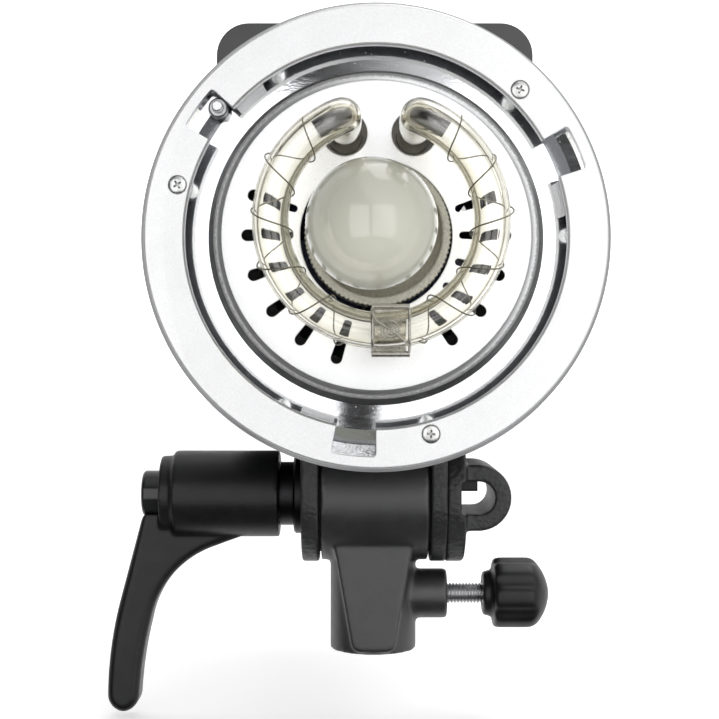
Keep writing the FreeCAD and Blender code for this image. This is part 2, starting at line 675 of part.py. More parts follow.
def lever_handle():
    """Ratchet lever: a round hub on the tilt axis and an arm that sweeps down and out."""
    piece = Piece("lever_handle")
    piece.pad("Y", "-arm_half_y", "arm_half_y", [
        ("collar_out-4", "tilt_up"),
        ("hub_out+4", "tilt_up+6"),
        ("hub_out-7", "tilt_up-8"),
        ("arm_tip_out+5.4", "tilt_up-38"),
        arc("arm_tip_out", "arm_tip_up+3", "150", "left"),
        arc("(arm_tip_out+arm_tip_in)/2", "arm_tip_up-3", "6.9", "left"),
        arc("arm_tip_in", "arm_tip_up+3", "6.9", "left"),
        arc("arm_tip_in+4.4", "tilt_up-48", "150", "right"),
        arc("hub_out+20.6", "tilt_up-hub_r-3.2", "37", "right"),
        ("collar_out-8", "tilt_up-hub_r+3"),
    ])
    piece.pad("X", "hub_out+hub_dome", "collar_out", circle("0", "tilt_up", "hub_r"))
    piece.pad("X", "hub_out", "hub_out+hub_dome", circle("0", "tilt_up", "hub_r-hub_dome*0.4"))
    piece.pocket("X", "lever_web_out+2.5", "collar_out+1", circle("0", "tilt_up", "tooth_r+running"))
    piece.pocket("X", "lever_web_out-1", "lever_web_out+3.5", circle("0", "tilt_up", "spindle_r+slack"))
    piece.pocket("X", "end_cap_out-2", "lever_web_out", circle("0", "tilt_up", "lever_bore_r"))


def lever_end_cap():
    """Snap-in cap that closes the hub's bore."""
    piece = Piece("lever_end_cap", TILT)
    piece.turned("X", [
        ("end_cap_out", "0"),
        ("spindle_head_in-2.5-lever_travel*0.1-3.4", "0"),
        ("spindle_head_in-2.5-lever_travel*0.1-3.4", "lever_bore_r"),
        ("hub_out+0.5", "lever_bore_r"),
        ("hub_out+0.5", "end_cap_r"),
        ("end_cap_out+1.4", "end_cap_r"),
        arc("end_cap_out", "end_cap_r-1.4", "1.4", "left"),
    ])


# ---------------------------------------------------------------- accessory mount

def mount_ring():
    """Bayonet ring: plate with three notches, conical edge and a skirt."""
    piece = Piece("mount_ring", FACE)
    piece.turned("Y", [
        ("0", "ring_hole_r+0.6"),
        ("0.6", "ring_hole_r"),
        ("ring_thick", "ring_hole_r"),
        ("ring_thick", "ring_r-skirt_wall"),
        ("ring_deep", "ring_r-skirt_wall"),
        ("ring_deep", "ring_r"),
        ("ring_chamfer", "ring_r"),
        ("0.7", "ring_face_r+0.1"),
        arc("0", "ring_face_r-0.6", "0.7", "left"),
    ])
    notch = piece.pocket("Y", "-1", "ring_thick+0.01", [
        (f"(ring_hole_r-3)*cos(notch_half)", "-(ring_hole_r-3)*sin(notch_half)"),
        ("notch_r*cos(notch_half)", "-notch_r*sin(notch_half)"),
        arc("notch_r*cos(notch_half)", "notch_r*sin(notch_half)", "notch_r", "left"),
        (f"(ring_hole_r-3)*cos(notch_half)", "(ring_hole_r-3)*sin(notch_half)"),
    ], spin="notch_at")
    piece.around(notch, "3")
    reach = size("(notch_r+ring_hole_r)/2")
    piece.soften("Fillet", "notch_soft", lambda edge: (
        straight(edge, ALONG_Y) and math.hypot(edge.CenterOfMass.x, edge.CenterOfMass.z) > reach))
    holes = [circle(*polar("ring_screw_at", f"ring_screw_turn+{120 * n}"), "ring_shank_r") for n in range(3)]
    piece.pocket("Y", "-1", "ring_thick+1", *holes)
    sinks = [circle(*polar("ring_screw_at", f"ring_screw_turn+{120 * n}"), "ring_screw_r+0.15")
             for n in range(3)]
    piece.pocket("Y", "-1", "1.2", *sinks)


def ring_screws():
    """Three screws through the mount ring."""
    piece = Piece("ring_screws", FACE)
    spots = [polar("ring_screw_at", f"ring_screw_turn+{120 * n}") for n in range(3)]
    piece.pad("Y", "-ring_head_rise", "1.2", *[circle(a, b, "ring_screw_r") for a, b in spots])
    piece.pad("Y", "1", "floor_deep+8", *[circle(a, b, "ring_shank_r") for a, b in spots])
    piece.soften("Fillet", "0.5", lambda edge: lies(edge, "Y", "-ring_head_rise"))


def ring_posts():
    """Six spacer posts between the ring's plate and the chromed floor."""
    piece = Piece("ring_posts", FACE)
    drilled = [polar("ring_screw_at", f"ring_screw_turn+{120 * n}") for n in range(3)]
    plain = [polar("ring_screw_at", f"post_turn+{120 * n}") for n in range(3)]
    for spots in (drilled, plain):
        piece.pad("Y", "ring_thick", "floor_deep", *[circle(a, b, "post_r") for a, b in spots])
    piece.pocket("Y", "ring_thick-1", "floor_deep+1", *[circle(a, b, "ring_shank_r") for a, b in drilled])


def stop_blocks():
    """Three blocks that end the accessory's turn."""
    piece = Piece("stop_blocks", FACE)
    spans = []
    for n in range(3):
        first = f"(stop_from+{120 * n})"
        last = f"(stop_from+stop_sweep+{120 * n})"
        spans.append([
            polar("stop_out_r", first),
            arc(*polar("stop_out_r", last), "stop_out_r", "left"),
            polar("stop_in_r", last),
            arc(*polar("stop_in_r", first), "stop_in_r", "right"),
        ])
    piece.pad("Y", "ring_thick", "floor_deep", *spans)


def recess_floor():
    """Chromed floor of the accessory recess, with an upturned rim."""
    piece = Piece("recess_floor", FACE)
    rim = "ring_r-skirt_wall-slack"
    piece.turned("Y", [
        ("floor_deep", "floor_hole_r"),
        ("floor_deep+floor_thick", "floor_hole_r"),
        ("floor_deep+floor_thick", rim),
        ("ring_thick", rim),
        ("ring_thick", f"{rim}-1.2"),
        ("floor_deep", f"{rim}-1.2"),
    ])
    holes = [circle(*polar("ring_screw_at", f"ring_screw_turn+{120 * n}"), "ring_shank_r") for n in range(3)]
    sleeve = circle(*polar("lock_at", "lock_turn"), "lock_sleeve_r")
    piece.pocket("Y", "floor_deep-1", "floor_deep+floor_thick+1", *holes, sleeve)


def lock_sleeve():
    """Sleeve that guides the lock pin through the floor."""
    piece = Piece("lock_sleeve", FACE)
    spot = polar("lock_at", "lock_turn")
    piece.pad("Y", "ring_thick+1", "floor_deep+8", circle(*spot, "lock_sleeve_r"),
              circle(*spot, "lock_pin_r+running"))
    piece.soften("Chamfer", "0.5", lambda edge: lies(edge, "Y", "ring_thick+1") and edge.Length > 15)


def lock_pin():
    """Spring pin that drops into the accessory's slot."""
    piece = Piece("lock_pin", FACE)
    spot = polar("lock_at", "lock_turn")
    piece.pad("Y", "0.5", "floor_deep+24", circle(*spot, "lock_pin_r"))
    piece.soften("Fillet", "0.5", lambda edge: lies(edge, "Y", "0.5"))


def lock_slider():
    """Thumb slider on the bezel with an arm that reaches in to the lock pin."""
    piece = Piece("lock_slider", FACE, turn_y=size("lock_turn"))
    piece.pad("Y", "floor_deep+10", "floor_deep+15", [
        ("lock_at-4", "-3.4"),
        ("bezel_r+1", "-3.4"),
        ("bezel_r+1", "3.4"),
        ("lock_at-4", "3.4"),
    ])
    piece.pad("Y", "floor_deep+4.5", "floor_deep+19.5", rectangle("bezel_r+slack", "slider_out_r", "-7", "7"))
    piece.soften("Fillet", "1.2", lambda edge: (
        straight(edge, ALONG_Y) and edge.CenterOfMass.x > size("slider_out_r-1")))
    for n in range(5):
        piece.pocket("Y", f"floor_deep+7+{n}*2.2", f"floor_deep+8.2+{n}*2.2",
                     rectangle("slider_out_r-0.8", "slider_out_r+1", "-8", "8"))
    piece.pocket("Y", "floor_deep+9", "floor_deep+16", circle("lock_at", "0", "lock_pin_r"))


def lock_spring():
    """Coil spring behind the lock slider's arm, drawn as its outer sleeve."""
    piece = Piece("lock_spring", FACE)
    spot = polar("lock_at", "lock_turn")
    piece.pad("Y", "floor_deep+15", "bezel_rear", circle(*spot, "2.9"), circle(*spot, "lock_pin_r+0.3"))


def front_bezel():
    """Round black barrel that carries the mount ring and the reflector."""
    piece = Piece("front_bezel", FACE)
    front = "floor_deep+floor_thick"
    piece.turned("Y", [
        (front, "floor_hole_r-6"),
        (f"{front}+4", "floor_hole_r-6"),
        (f"{front}+4", "bezel_r-bezel_wall"),
        ("bezel_rear", "bezel_r-bezel_wall"),
        ("bezel_rear", "bezel_r"),
        (front, "bezel_r"),
    ])
    spots = [circle(*polar("ring_screw_at", f"ring_screw_turn+{120 * n}"), "ring_shank_r") for n in range(3)]
    sleeve = circle(*polar("lock_at", "lock_turn"), "lock_sleeve_r")
    piece.pocket("Y", "floor_deep", "floor_deep+8", *spots, sleeve)
    slot = [
        ("bezel_r-bezel_wall-3", "-3.8"),
        ("bezel_r+2", "-3.8"),
        ("bezel_r+2", "3.8"),
        ("bezel_r-bezel_wall-3", "3.8"),
    ]
    piece.pocket("Y", "floor_deep+9.5", "floor_deep+15.5+lock_travel", slot, spin="lock_turn")


# ---------------------------------------------------------------- reflector, tube and lamp

def reflector():
    """Raised bright plate round the lamp, with vent slots and two holes for the tube's legs."""
    piece = Piece("reflector", FACE)
    piece.turned("Y", [
        ("dish_foot_deep", "dish_foot_r-3"),
        ("dish_foot_deep", "dish_foot_r"),
        ("dish_foot_deep-dish_wall", "dish_foot_r"),
        ("dish_top_deep+dish_soft", "dish_top_r+0.4"),
        arc("dish_top_deep", "dish_top_r-dish_soft", "dish_soft*1.03", "right"),
        ("dish_top_deep", "dish_hole_r"),
        ("dish_top_deep+dish_wall", "dish_hole_r"),
        ("dish_top_deep+dish_wall", "dish_top_r-dish_soft-1"),
        ("dish_top_deep+dish_soft+1", "dish_top_r-dish_wall-0.4"),
        ("dish_foot_deep-dish_wall", "dish_foot_r-3"),
    ])
    slot = [
        ("vent_in", "vent_in_r"),
        arc("vent_in-vent_in_r", "0", "vent_in_r", "left"),
        arc("vent_in", "-vent_in_r", "vent_in_r", "left"),
        ("vent_out", "-vent_out_r"),
        arc("vent_out+vent_out_r", "0", "vent_out_r", "left"),
        arc("vent_out", "vent_out_r", "vent_out_r", "left"),
    ]
    for first, count in (("vent_step*9", 6), ("vent_step*17", 5)):
        vent = piece.pocket("Y", "dish_top_deep-1", "dish_top_deep+dish_wall+1", slot, spin=first)
        piece.around(vent, f"{count}", f"vent_step*{count - 1}")
    leg_x = "(tube_ring_r*sin(tube_gap_half)-tube_bend_r*cos(tube_gap_half))"
    leg_z = "(tube_ring_r*cos(tube_gap_half)+tube_bend_r*sin(tube_gap_half)+tube_shift_z)"
    holes = [circle(f"tube_shift_x+{sign}*{leg_x}", leg_z, "leg_hole_r") for sign in (-1, 1)]
    piece.pocket("Y", "dish_top_deep-1", "dish_top_deep+dish_wall+1", *holes)


MITRED = 1
RUNS_PER_TURN = 10
LEG_X = "(tube_ring_r*sin(tube_gap_half)-tube_bend_r*cos(tube_gap_half))"
LEG_Z = "(tube_ring_r*cos(tube_gap_half)+tube_bend_r*sin(tube_gap_half))"
TUBE_AT = ("tube_shift_x", "face_back", "lamp_up+tube_shift_z")


def tube_path():
    """Centre line of the flash tube: leg, bend, ring, bend, leg."""
    ring = size("tube_ring_r")
    bend = size("tube_bend_r")
    gap = math.radians(size("tube_gap_half"))
    front = size("tube_deep")
    rear = size("tube_leg_deep")
    edges = []
    for side in (1, -1):
        on_ring = Vector(side * ring * math.sin(gap), front, ring * math.cos(gap))
        inward = Vector(-side * math.cos(gap), 0, math.sin(gap))
        bend_centre = on_ring + ALONG_Y * bend
        leg_start = bend_centre + inward * bend
        halfway = bend_centre + (inward - ALONG_Y) * (bend / math.sqrt(2))
        leg_end = Vector(leg_start.x, rear, leg_start.z)
        leg = Part.LineSegment(leg_end, leg_start).toShape()
        edges.append((leg, Part.Arc(leg_start, halfway, on_ring).toShape(), on_ring))
    bottom = Vector(0, front, -ring)
    loop = Part.Arc(edges[0][2], bottom, edges[1][2]).toShape()
    return Part.Wire([edges[0][0], edges[0][1], loop, edges[1][1], edges[1][0]])


def swept(path, radius, corner=0):
    """A round bar along a path of lines and arcs."""
    start = path.Edges[0].valueAt(path.Edges[0].FirstParameter)
    direction = path.Edges[0].tangentAt(path.Edges[0].FirstParameter)
    section = Part.Wire(Part.makeCircle(radius, start, direction))
    bar = path.makePipeShell([section], True, True, corner)
    if bar.Volume < 0:
        bar.reverse()
    return bar


def placed_feature(name, shape, at):
    """A shape worked out here, as a document object with a place bound to the sheet."""
    item = doc.addObject("Part::Feature", name)
    item.Label = name
    item.Shape = shape
    for letter, text in zip("xyz", at):
        item.setExpression(f"Placement.Base.{letter}", bound(text))
    return item


def flash_tube():
    """Clear glass ring with two legs that run back through the reflector."""
    path = tube_path()
    glass = swept(path, size("tube_r")).cut(swept(path, size("tube_bore_r")))
    placed_feature("flash_tube", glass, TUBE_AT)


def tube_electrodes():
    """A metal electrode and its seal in each leg."""
    piece = Piece("tube_electrodes", TUBE_AT)
    spots = [(f"{sign}*{LEG_X}", LEG_Z) for sign in (-1, 1)]
    piece.pad("Y", "-16", "tube_leg_deep-6", *[circle(a, b, "1.7") for a, b in spots])
    piece.pad("Y", "-19", "-11", *[circle(a, b, "2.7") for a, b in spots])
    piece.pad("Y", "tube_leg_deep-7", "tube_leg_deep+3",
              *[circle(a, b, "tube_bore_r-0.05") for a, b in spots])


def trigger_wire():
    """Thin wire wound loosely round the glass in short straight runs, in two halves beside the clip."""
    ring = size("tube_ring_r")
    reach = size("tube_r+coil_loose")
    front = size("tube_deep")
    runs = int(size("coil_turns")) * RUNS_PER_TURN
    first = math.radians(90 + size("tube_gap_half+coil_start"))
    last = math.radians(270 - size("coil_clip_gap"))
    halves = []
    for side in (-1, 1):
        spots = []
        for step in range(runs + 1):
            angle = first + (last - first) * step / runs
            turn = 2 * math.pi * step / RUNS_PER_TURN
            radius = ring + reach * math.cos(turn)
            across = -side * radius * math.cos(angle)
            spots.append(Vector(across, front - reach * math.sin(turn), radius * math.sin(angle)))
        halves.append(swept(Part.makePolygon(spots), size("coil_wire_r"), MITRED))
    placed_feature("trigger_wire", Part.Compound(halves), TUBE_AT)


def tube_clip():
    """Spring band that holds the ring's lowest point on a stalk from the reflector."""
    piece = Piece("tube_clip", (f"{TUBE_AT[0]}+clip_x", *TUBE_AT[1:]))
    middle = "-tube_ring_r"
    front = "tube_deep-clip_half_z"
    rear = "tube_deep+clip_half_z"
    low = f"{middle}-clip_half_z"
    high = f"{middle}+clip_half_z+clip_rise"
    piece.pad("X", "-clip_half_x", "clip_half_x",
              rounded(front, rear, low, high, "2.4"),
              rounded(f"{front}+clip_sheet", f"{rear}-clip_sheet",
                      f"{low}+clip_sheet", f"{high}-clip_sheet", "1.6"))
    piece.pad("Y", f"{rear}-0.4", "dish_top_deep", rectangle("-3", "3", f"{middle}-0.7", f"{middle}+0.7"))
    piece.pad("Y", "dish_top_deep-1", "dish_top_deep", rectangle("-5", "5", f"{middle}-7", f"{middle}+2"))


def tube_sockets():
    """Ceramic sockets behind the reflector that take the tube's legs."""
    piece = Piece("tube_sockets", TUBE_AT)
    spots = [(f"{sign}*{LEG_X}", LEG_Z) for sign in (-1, 1)]
    piece.pad("Y", "tube_leg_deep-12", "tube_leg_deep+8", *[circle(a, b, "9") for a, b in spots])
    piece.pocket("Y", "tube_leg_deep-13", "tube_leg_deep+3.2",
                 *[circle(a, b, "tube_r+0.1") for a, b in spots])


LAMP_AT = ("0", "face_back", "lamp_up+lamp_set_z")


def lamp_holder():
    """Porcelain holder whose lip shows round the bulb."""
    piece = Piece("lamp_holder", LAMP_AT)
    piece.turned("Y", [
        ("holder_front+0.8", "holder_r"),
        arc("holder_front", "holder_r-0.8", "0.8", "right"),
        ("holder_front", "holder_lip_r+0.8"),
        arc("holder_front+0.8", "holder_lip_r", "0.8", "right"),
        ("holder_front+7", "holder_lip_r"),
        ("holder_front+9", "base_r+1.2"),
        ("base_rear+3", "base_r+1.2"),
        ("base_rear+3", "0"),
        ("holder_rear", "0"),
        ("holder_rear", "holder_r-3"),
        ("holder_front+14", "holder_r-2"),
        ("holder_front+14", "holder_r"),
    ])


def bulb_base():
    """Screw base of the modelling bulb, with a round thread and a tip contact."""
    piece = Piece("bulb_base", LAMP_AT)
    profile = [("neck_deep+2", "0"), ("neck_deep+2", "base_r-0.6"), ("neck_deep+5", "base_r-0.6")]
    pitch = "(base_rear-neck_deep-11)/5"
    for turn in range(5):
        profile.append(arc(f"neck_deep+5+{pitch}*{turn + 0.5}", "base_r", f"{pitch}*0.8", "right"))
        profile.append(arc(f"neck_deep+5+{pitch}*{turn + 1}", "base_r-0.9", f"{pitch}*0.9", "right"))
    profile += [("base_rear-3", "base_r-4"), ("base_rear", "4.5"), ("base_rear", "0")]
    piece.turned("Y", profile)


def bulb_glass():
    """Opal globe of the modelling bulb."""
    piece = Piece("bulb_glass", LAMP_AT)
    piece.turned("Y", [
        ("neck_deep+2", "0"),
        ("globe_deep-globe_r", "0"),
        arc("globe_deep", "globe_r", "globe_r", "right"),
        arc("globe_deep+globe_r*0.78", "neck_r", "globe_r", "right"),
        ("neck_deep+2", "neck_r-0.4"),
    ])


# ---------------------------------------------------------------- casing

CASE_LOW = "lamp_up-case_low"
CASE_HIGH = "lamp_up+case_top"


def shell_outline(top):
    """Half of the casing's section, above or below the seam at the lamp's axis."""
    if top:
        high, edge, turn, inner_turn = CASE_HIGH, "lamp_up+seam_gap", "left", "right"
        sign = ""
    else:
        high, edge, turn, inner_turn = CASE_LOW, "lamp_up", "right", "left"
        sign = "-"
    near = f"{high}-({sign}1)*case_round"
    return [
        ("case_half_x", edge),
        ("case_half_x", near),
        arc("case_half_x-case_round", high, "case_round", turn),
        ("-case_half_x+case_round", high),
        arc("-case_half_x", near, "case_round", turn),
        ("-case_half_x", edge),
        ("-case_half_x+case_wall", edge),
        ("-case_half_x+case_wall", near),
        arc("-case_half_x+case_round", f"{high}-({sign}1)*case_wall", "case_round-case_wall", inner_turn),
        ("case_half_x-case_round", f"{high}-({sign}1)*case_wall"),
        arc("case_half_x-case_wall", near, "case_round-case_wall", inner_turn),
        ("case_half_x-case_wall", edge),
    ]


def casing(name, top):
    """One of the two moulded shells, with rows of vent slots in its sides."""
    piece = Piece(name)
    piece.pad("Y", "case_front", "case_rear", shell_outline(top))
    low, high = ("lamp_up+22", "lamp_up+56") if top else ("lamp_up-42", "lamp_up-12")
    slot = rounded("case_rear-110", "case_rear-106", low, high, "1.9")
    vent = piece.pocket("X", "-case_half_x-1", "case_half_x+1", slot)
    piece.along(vent, "H_Axis", "66", "9")
    if not top:
        piece.pocket("Z", f"{CASE_LOW}-1", f"{CASE_LOW}+case_wall+1", *yoke_screw_spots("yoke_screw_r"))


def front_bulkhead():
    """Plate that closes the casing's front and carries the bezel."""
    piece = Piece("front_bulkhead")
    front = "case_front-disc_thick"
    piece.pad("Y", front, "case_front", circle("0", "lamp_up", "bezel_r"))
    piece.pad("Y", front, "case_front",
              rounded("-case_half_x", "case_half_x", CASE_LOW, CASE_HIGH, "case_round"))
    piece.pocket("Y", f"{front}-1", "case_front+1", circle("0", "lamp_up", "floor_hole_r-12"))


def case_screws():
    """Ten screws under the casing: six close the shells and four hold the yoke."""
    piece = Piece("case_screws")
    shell_spots = [(f"{side}*(case_half_x-case_wall-7)", f"{back}")
                   for side in (-1, 1) for back in (-48, 62, 138)]
    low = f"{CASE_LOW}-0.9"
    piece.pad("Z", low, CASE_LOW, *[circle(a, b, "case_screw_r") for a, b in shell_spots])
    piece.pad("Z", "plate_low-2.2", "plate_low", *yoke_screw_spots("yoke_screw_r+1.8"))
    piece.pad("Z", "plate_low-0.5", "plate_high+6", *yoke_screw_spots("yoke_screw_r"))
    piece.soften("Fillet", "0.5", lambda edge: lies(edge, "Z", low) or lies(edge, "Z", "plate_low-2.2"))


KEYS = {"key_minus": -2.6, "key_plus": -1.6, "key_mode": -0.6, "key_test": 0.4}


def key_outline(place, grow):
    """A key's outline: straight sides and round ends."""
    across = f"(key_step*({place}))"
    radius = f"(key_r+{grow})"
    up = "lamp_up+key_up"
    return [
        arc(f"{across}-key_half", f"{up}-{radius}", radius, "left"),
        (f"{across}+key_half", f"{up}-{radius}"),
        arc(f"{across}+key_half+{radius}", up, radius, "left"),
        arc(f"{across}+key_half", f"{up}+{radius}", radius, "left"),
        (f"{across}-key_half", f"{up}+{radius}"),
        arc(f"{across}-key_half-{radius}", up, radius, "left"),
    ]


def rear_panel():
    """Control panel with an opening for each fitting, and slots over the fan."""
    piece = Piece("rear_panel")
    inset = "case_wall+slack"
    piece.pad("Y", PANEL_IN, PANEL_OUT,
              rounded(f"-case_half_x+{inset}", f"case_half_x-({inset})",
                      f"{CASE_LOW}+{inset}", f"{CASE_HIGH}-({inset})", "case_round-case_wall-slack"))
    low, high = f"{PANEL_IN}-1", f"{PANEL_OUT}+1"
    piece.pocket("Y", low, high, *[key_outline(place, "slack") for place in KEYS.values()])
    piece.pocket("Y", low, high, rectangle(
        "screen_x-screen_half_x", "screen_x+screen_half_x",
        "lamp_up+screen_up-screen_half_up", "lamp_up+screen_up+screen_half_up"))
    piece.pocket("Y", low, high, circle("dial_x", "lamp_up+dial_up", "3+running"))
    piece.pocket("Y", low, high, circle("sync_x", "lamp_up+key_up", "5"),
                 circle("cell_x", "lamp_up+key_up", "cell_r-1"))
    piece.pocket("Y", low, high, rectangle(
        "inlet_x-14.2", "inlet_x+14.2", "lamp_up+inlet_up-10.5", "lamp_up+inlet_up+10.5"))
    piece.pocket("Y", low, high, rectangle(
        "inlet_x-rocker_half_x-slack", "inlet_x+rocker_half_x+slack",
        "lamp_up+rocker_up-rocker_half_up-slack", "lamp_up+rocker_up+rocker_half_up+slack"))
    piece.pocket("Y", low, high, circle("fuse_x", "lamp_up+inlet_up", "fuse_r-1"))
    grille = piece.pocket("Y", low, high, rounded(
        "fan_x-19", "fan_x+19", "lamp_up+fan_up-19.5", "lamp_up+fan_up-16.5", "1.45"))
    piece.along(grille, "V_Axis", "36", "7")


def display_window():
    piece = Piece("display_window")
    piece.pad("Y", PANEL_IN, f"{PANEL_OUT}+0.4", rounded(
        "screen_x-screen_half_x+0.1", "screen_x+screen_half_x-0.1",
        "lamp_up+screen_up-screen_half_up+0.1", "lamp_up+screen_up+screen_half_up-0.1", "0.8"))
    piece.soften("Chamfer", "0.3", lambda edge: lies(edge, "Y", f"{PANEL_OUT}+0.4"))


def key(name, place):
    """A panel key, sprung, with a flange behind the panel."""
    piece = Piece(name)
    piece.pad("Y", f"{PANEL_IN}-0.8", f"{PANEL_OUT}+key_proud", key_outline(place, "0"))
    piece.soften("Fillet", "0.8", lambda edge: lies(edge, "Y", f"{PANEL_OUT}+key_proud"))
    piece.pad("Y", f"{PANEL_IN}-1.6", f"{PANEL_IN}-0.1", key_outline(place, "0.8"))


def power_dial():
    """Fluted dial on its shaft."""
    piece = Piece("power_dial", ("dial_x", "case_rear-panel_set", "lamp_up+dial_up"))
    piece.turned("Y", [
        ("0.4", "0"),
        ("0.4", "dial_r"),
        ("dial_proud-1.2", "dial_r-0.8"),
        arc("dial_proud", "dial_r-2", "1.2", "right"),
        ("dial_proud", "0"),
    ])
    flute = piece.pocket("Y", "1.5", "dial_proud+1", circle("dial_r+0.4", "0", "1"))
    piece.around(flute, "20")
    piece.pocket("Y", "dial_proud-0.6", "dial_proud+1", rectangle("3", "dial_r-2.6", "-0.7", "0.7"))
    piece.pad("Y", "-panel_thick-6", "2", circle("0", "0", "3"))


def sync_socket():
    """Jack socket: threaded collar outside, barrel inside."""
    piece = Piece("sync_socket", ("sync_x", "case_rear-panel_set", "lamp_up+key_up"))
    piece.turned("Y", [
        ("-18", "sync_r"),
        ("-18", "6"),
        ("-panel_thick", "6"),
        ("-panel_thick", "5"),
        ("0", "5"),
        ("0", "6.4"),
        ("1.6", "6.4"),
        ("2.2", "5.8"),
        ("2.2", "sync_r"),
    ])


def slave_cell():
    """Clear dome over the slave flash sensor."""
    piece = Piece("slave_cell", ("cell_x", "case_rear-panel_set", "lamp_up+key_up"))
    piece.turned("Y", [
        ("-panel_thick", "0"),
        ("-panel_thick", "cell_r-1"),
        ("0", "cell_r-1"),
        ("0", "cell_r"),
        ("0.8", "cell_r"),
        arc("cell_r+0.8", "0", "cell_r", "right"),
    ])


def mains_inlet():
    """Three-pin inlet: flange, well and three blades."""
    piece = Piece("mains_inlet")
    middle = "lamp_up+inlet_up"
    piece.pad("Y", PANEL_OUT, f"{PANEL_OUT}+2", rounded(
        "inlet_x-16", "inlet_x+16", f"{middle}-12", f"{middle}+12", "2"))
    piece.pad("Y", f"{PANEL_OUT}-18", PANEL_OUT, rectangle(
        "inlet_x-14", "inlet_x+14", f"{middle}-10.3", f"{middle}+10.3"))
    piece.pocket("Y", f"{PANEL_OUT}-15", f"{PANEL_OUT}+3", [
        ("inlet_x-8", f"{middle}-8.2"),
        ("inlet_x+8", f"{middle}-8.2"),
        ("inlet_x+12.2", f"{middle}-4"),
        ("inlet_x+12.2", f"{middle}+8.2"),
        ("inlet_x-12.2", f"{middle}+8.2"),
        ("inlet_x-12.2", f"{middle}-4"),
    ])


def inlet_pins():
    """Three blades in the mains inlet."""
    piece = Piece("inlet_pins")
    middle = "lamp_up+inlet_up"
    spots = (("-7", "1"), ("0", "-3"), ("7", "1"))
    piece.pad("Y", f"{PANEL_OUT}-15", f"{PANEL_OUT}-2", *[
        rectangle(f"inlet_x+{a}-1", f"inlet_x+{a}+1", f"{middle}+{b}-2", f"{middle}+{b}+2")
        for a, b in spots])


def power_switch_frame():
    piece = Piece("power_switch_frame")
    middle = "lamp_up+rocker_up"
    inner = rectangle("inlet_x-rocker_half_x+1", "inlet_x+rocker_half_x-1",
                      f"{middle}-rocker_half_up+1", f"{middle}+rocker_half_up-1")
    piece.pad("Y", PANEL_OUT, f"{PANEL_OUT}+1.4", rounded(
        "inlet_x-rocker_half_x-2", "inlet_x+rocker_half_x+2",
        f"{middle}-rocker_half_up-2", f"{middle}+rocker_half_up+2", "1.2"), inner)
    piece.pad("Y", f"{PANEL_OUT}-12", PANEL_OUT, rectangle(
        "inlet_x-rocker_half_x", "inlet_x+rocker_half_x",
        f"{middle}-rocker_half_up", f"{middle}+rocker_half_up"), inner)


def power_rocker():
    """Rocker with two faces at a shallow angle; it turns about X."""
    piece = Piece("power_rocker", ("inlet_x", f"{PANEL_OUT}-2", "lamp_up+rocker_up"))
    piece.pad("X", "-rocker_half_x+1.4", "rocker_half_x-1.4", [
        ("-5.5", "-2.2"),
        ("2.4", "-rocker_half_up+2.6"),
        ("5.2", "-rocker_half_up+2.6"),
        ("3.8", "0"),
        ("3.4", "rocker_half_up-1.9"),
        ("0.6", "rocker_half_up-1.9"),
        ("-5.5", "2.2"),
    ])
    piece.pad("X", "-rocker_half_x+1.05", "rocker_half_x-1.05", circle("0", "0", "1.3"))
    piece.soften("Fillet", "0.4", lambda edge: straight(edge, ALONG_X) and edge.CenterOfMass.y > 3)


def fuse_cap():
    piece = Piece("fuse_cap", ("fuse_x", "case_rear-panel_set", "lamp_up+inlet_up"))
    piece.turned("Y", [
        ("-24", "0"),
        ("-24", "fuse_r-1.2"),
        ("0", "fuse_r-1.2"),
        ("0", "fuse_r"),
        ("4", "fuse_r-0.4"),
        ("4.8", "fuse_r-1.2"),
        ("4.8", "0"),
    ])
    piece.pocket("Y", "3.6", "6", rectangle("-fuse_r", "fuse_r", "-0.6", "0.6"))


def fan_frame():
    """Square fan frame screwed behind the panel, with a motor plate on three arms."""
    piece = Piece("fan_frame", ("fan_x", f"{PANEL_IN}-fan_deep", "lamp_up+fan_up"))
    piece.pad("Y", "0", "fan_deep", rounded("-fan_half", "fan_half", "-fan_half", "fan_half", "3"),
              circle("0", "0", "fan_bore_r"))
    piece.pad("Y", "0", "2", circle("0", "0", "fan_hub_r"))
    arm = piece.pad("Y", "0", "2", rectangle("fan_hub_r-2", "fan_bore_r+0.5", "-1.5", "1.5"))
    piece.around(arm, "3")


def fan_rotor():
    """Hub with curved blades."""
    piece = Piece("fan_rotor", ("fan_x", f"{PANEL_IN}-fan_deep", "lamp_up+fan_up"))
    piece.pad("Y", "2.4", "fan_deep-1", circle("0", "0", "fan_hub_r"))
    blade = piece.pad("Y", "3.4", "fan_deep-2", [
        ("fan_hub_r-1", "0"),
        arc("fan_bore_r-1.4", "5", "24", "left"),
        ("fan_bore_r-1.6", "6.2"),
        arc("fan_hub_r-1", "1.4", "25", "right"),
    ])
    piece.around(blade, "fan_blades")


def rear_handle():
    """Carry handle: two posts and a round bar."""
    piece = Piece("rear_handle")
    middle = "lamp_up+grip_up"
    piece.pad("X", "-grip_half-5", "grip_half+5", circle(f"{PANEL_OUT}+grip_off", middle, "grip_r"))
    piece.soften("Fillet", "3", lambda edge: edge.Curve.TypeId == "Part::GeomCircle")
    posts = [rounded(f"{a}*grip_half-4.6", f"{a}*grip_half+4.6", f"{middle}-6.6", f"{middle}+6.6", "2")
             for a in (-1, 1)]
    piece.pad("Y", PANEL_OUT, f"{PANEL_OUT}+grip_off", *posts)
    feet = [rounded(f"{a}*grip_half-5.6", f"{a}*grip_half+5.6", f"{middle}-10", f"{middle}+10", "2")
            for a in (-1, 1)]
    piece.pad("Y", PANEL_OUT, f"{PANEL_OUT}+3", *feet)


# ---------------------------------------------------------------- inside

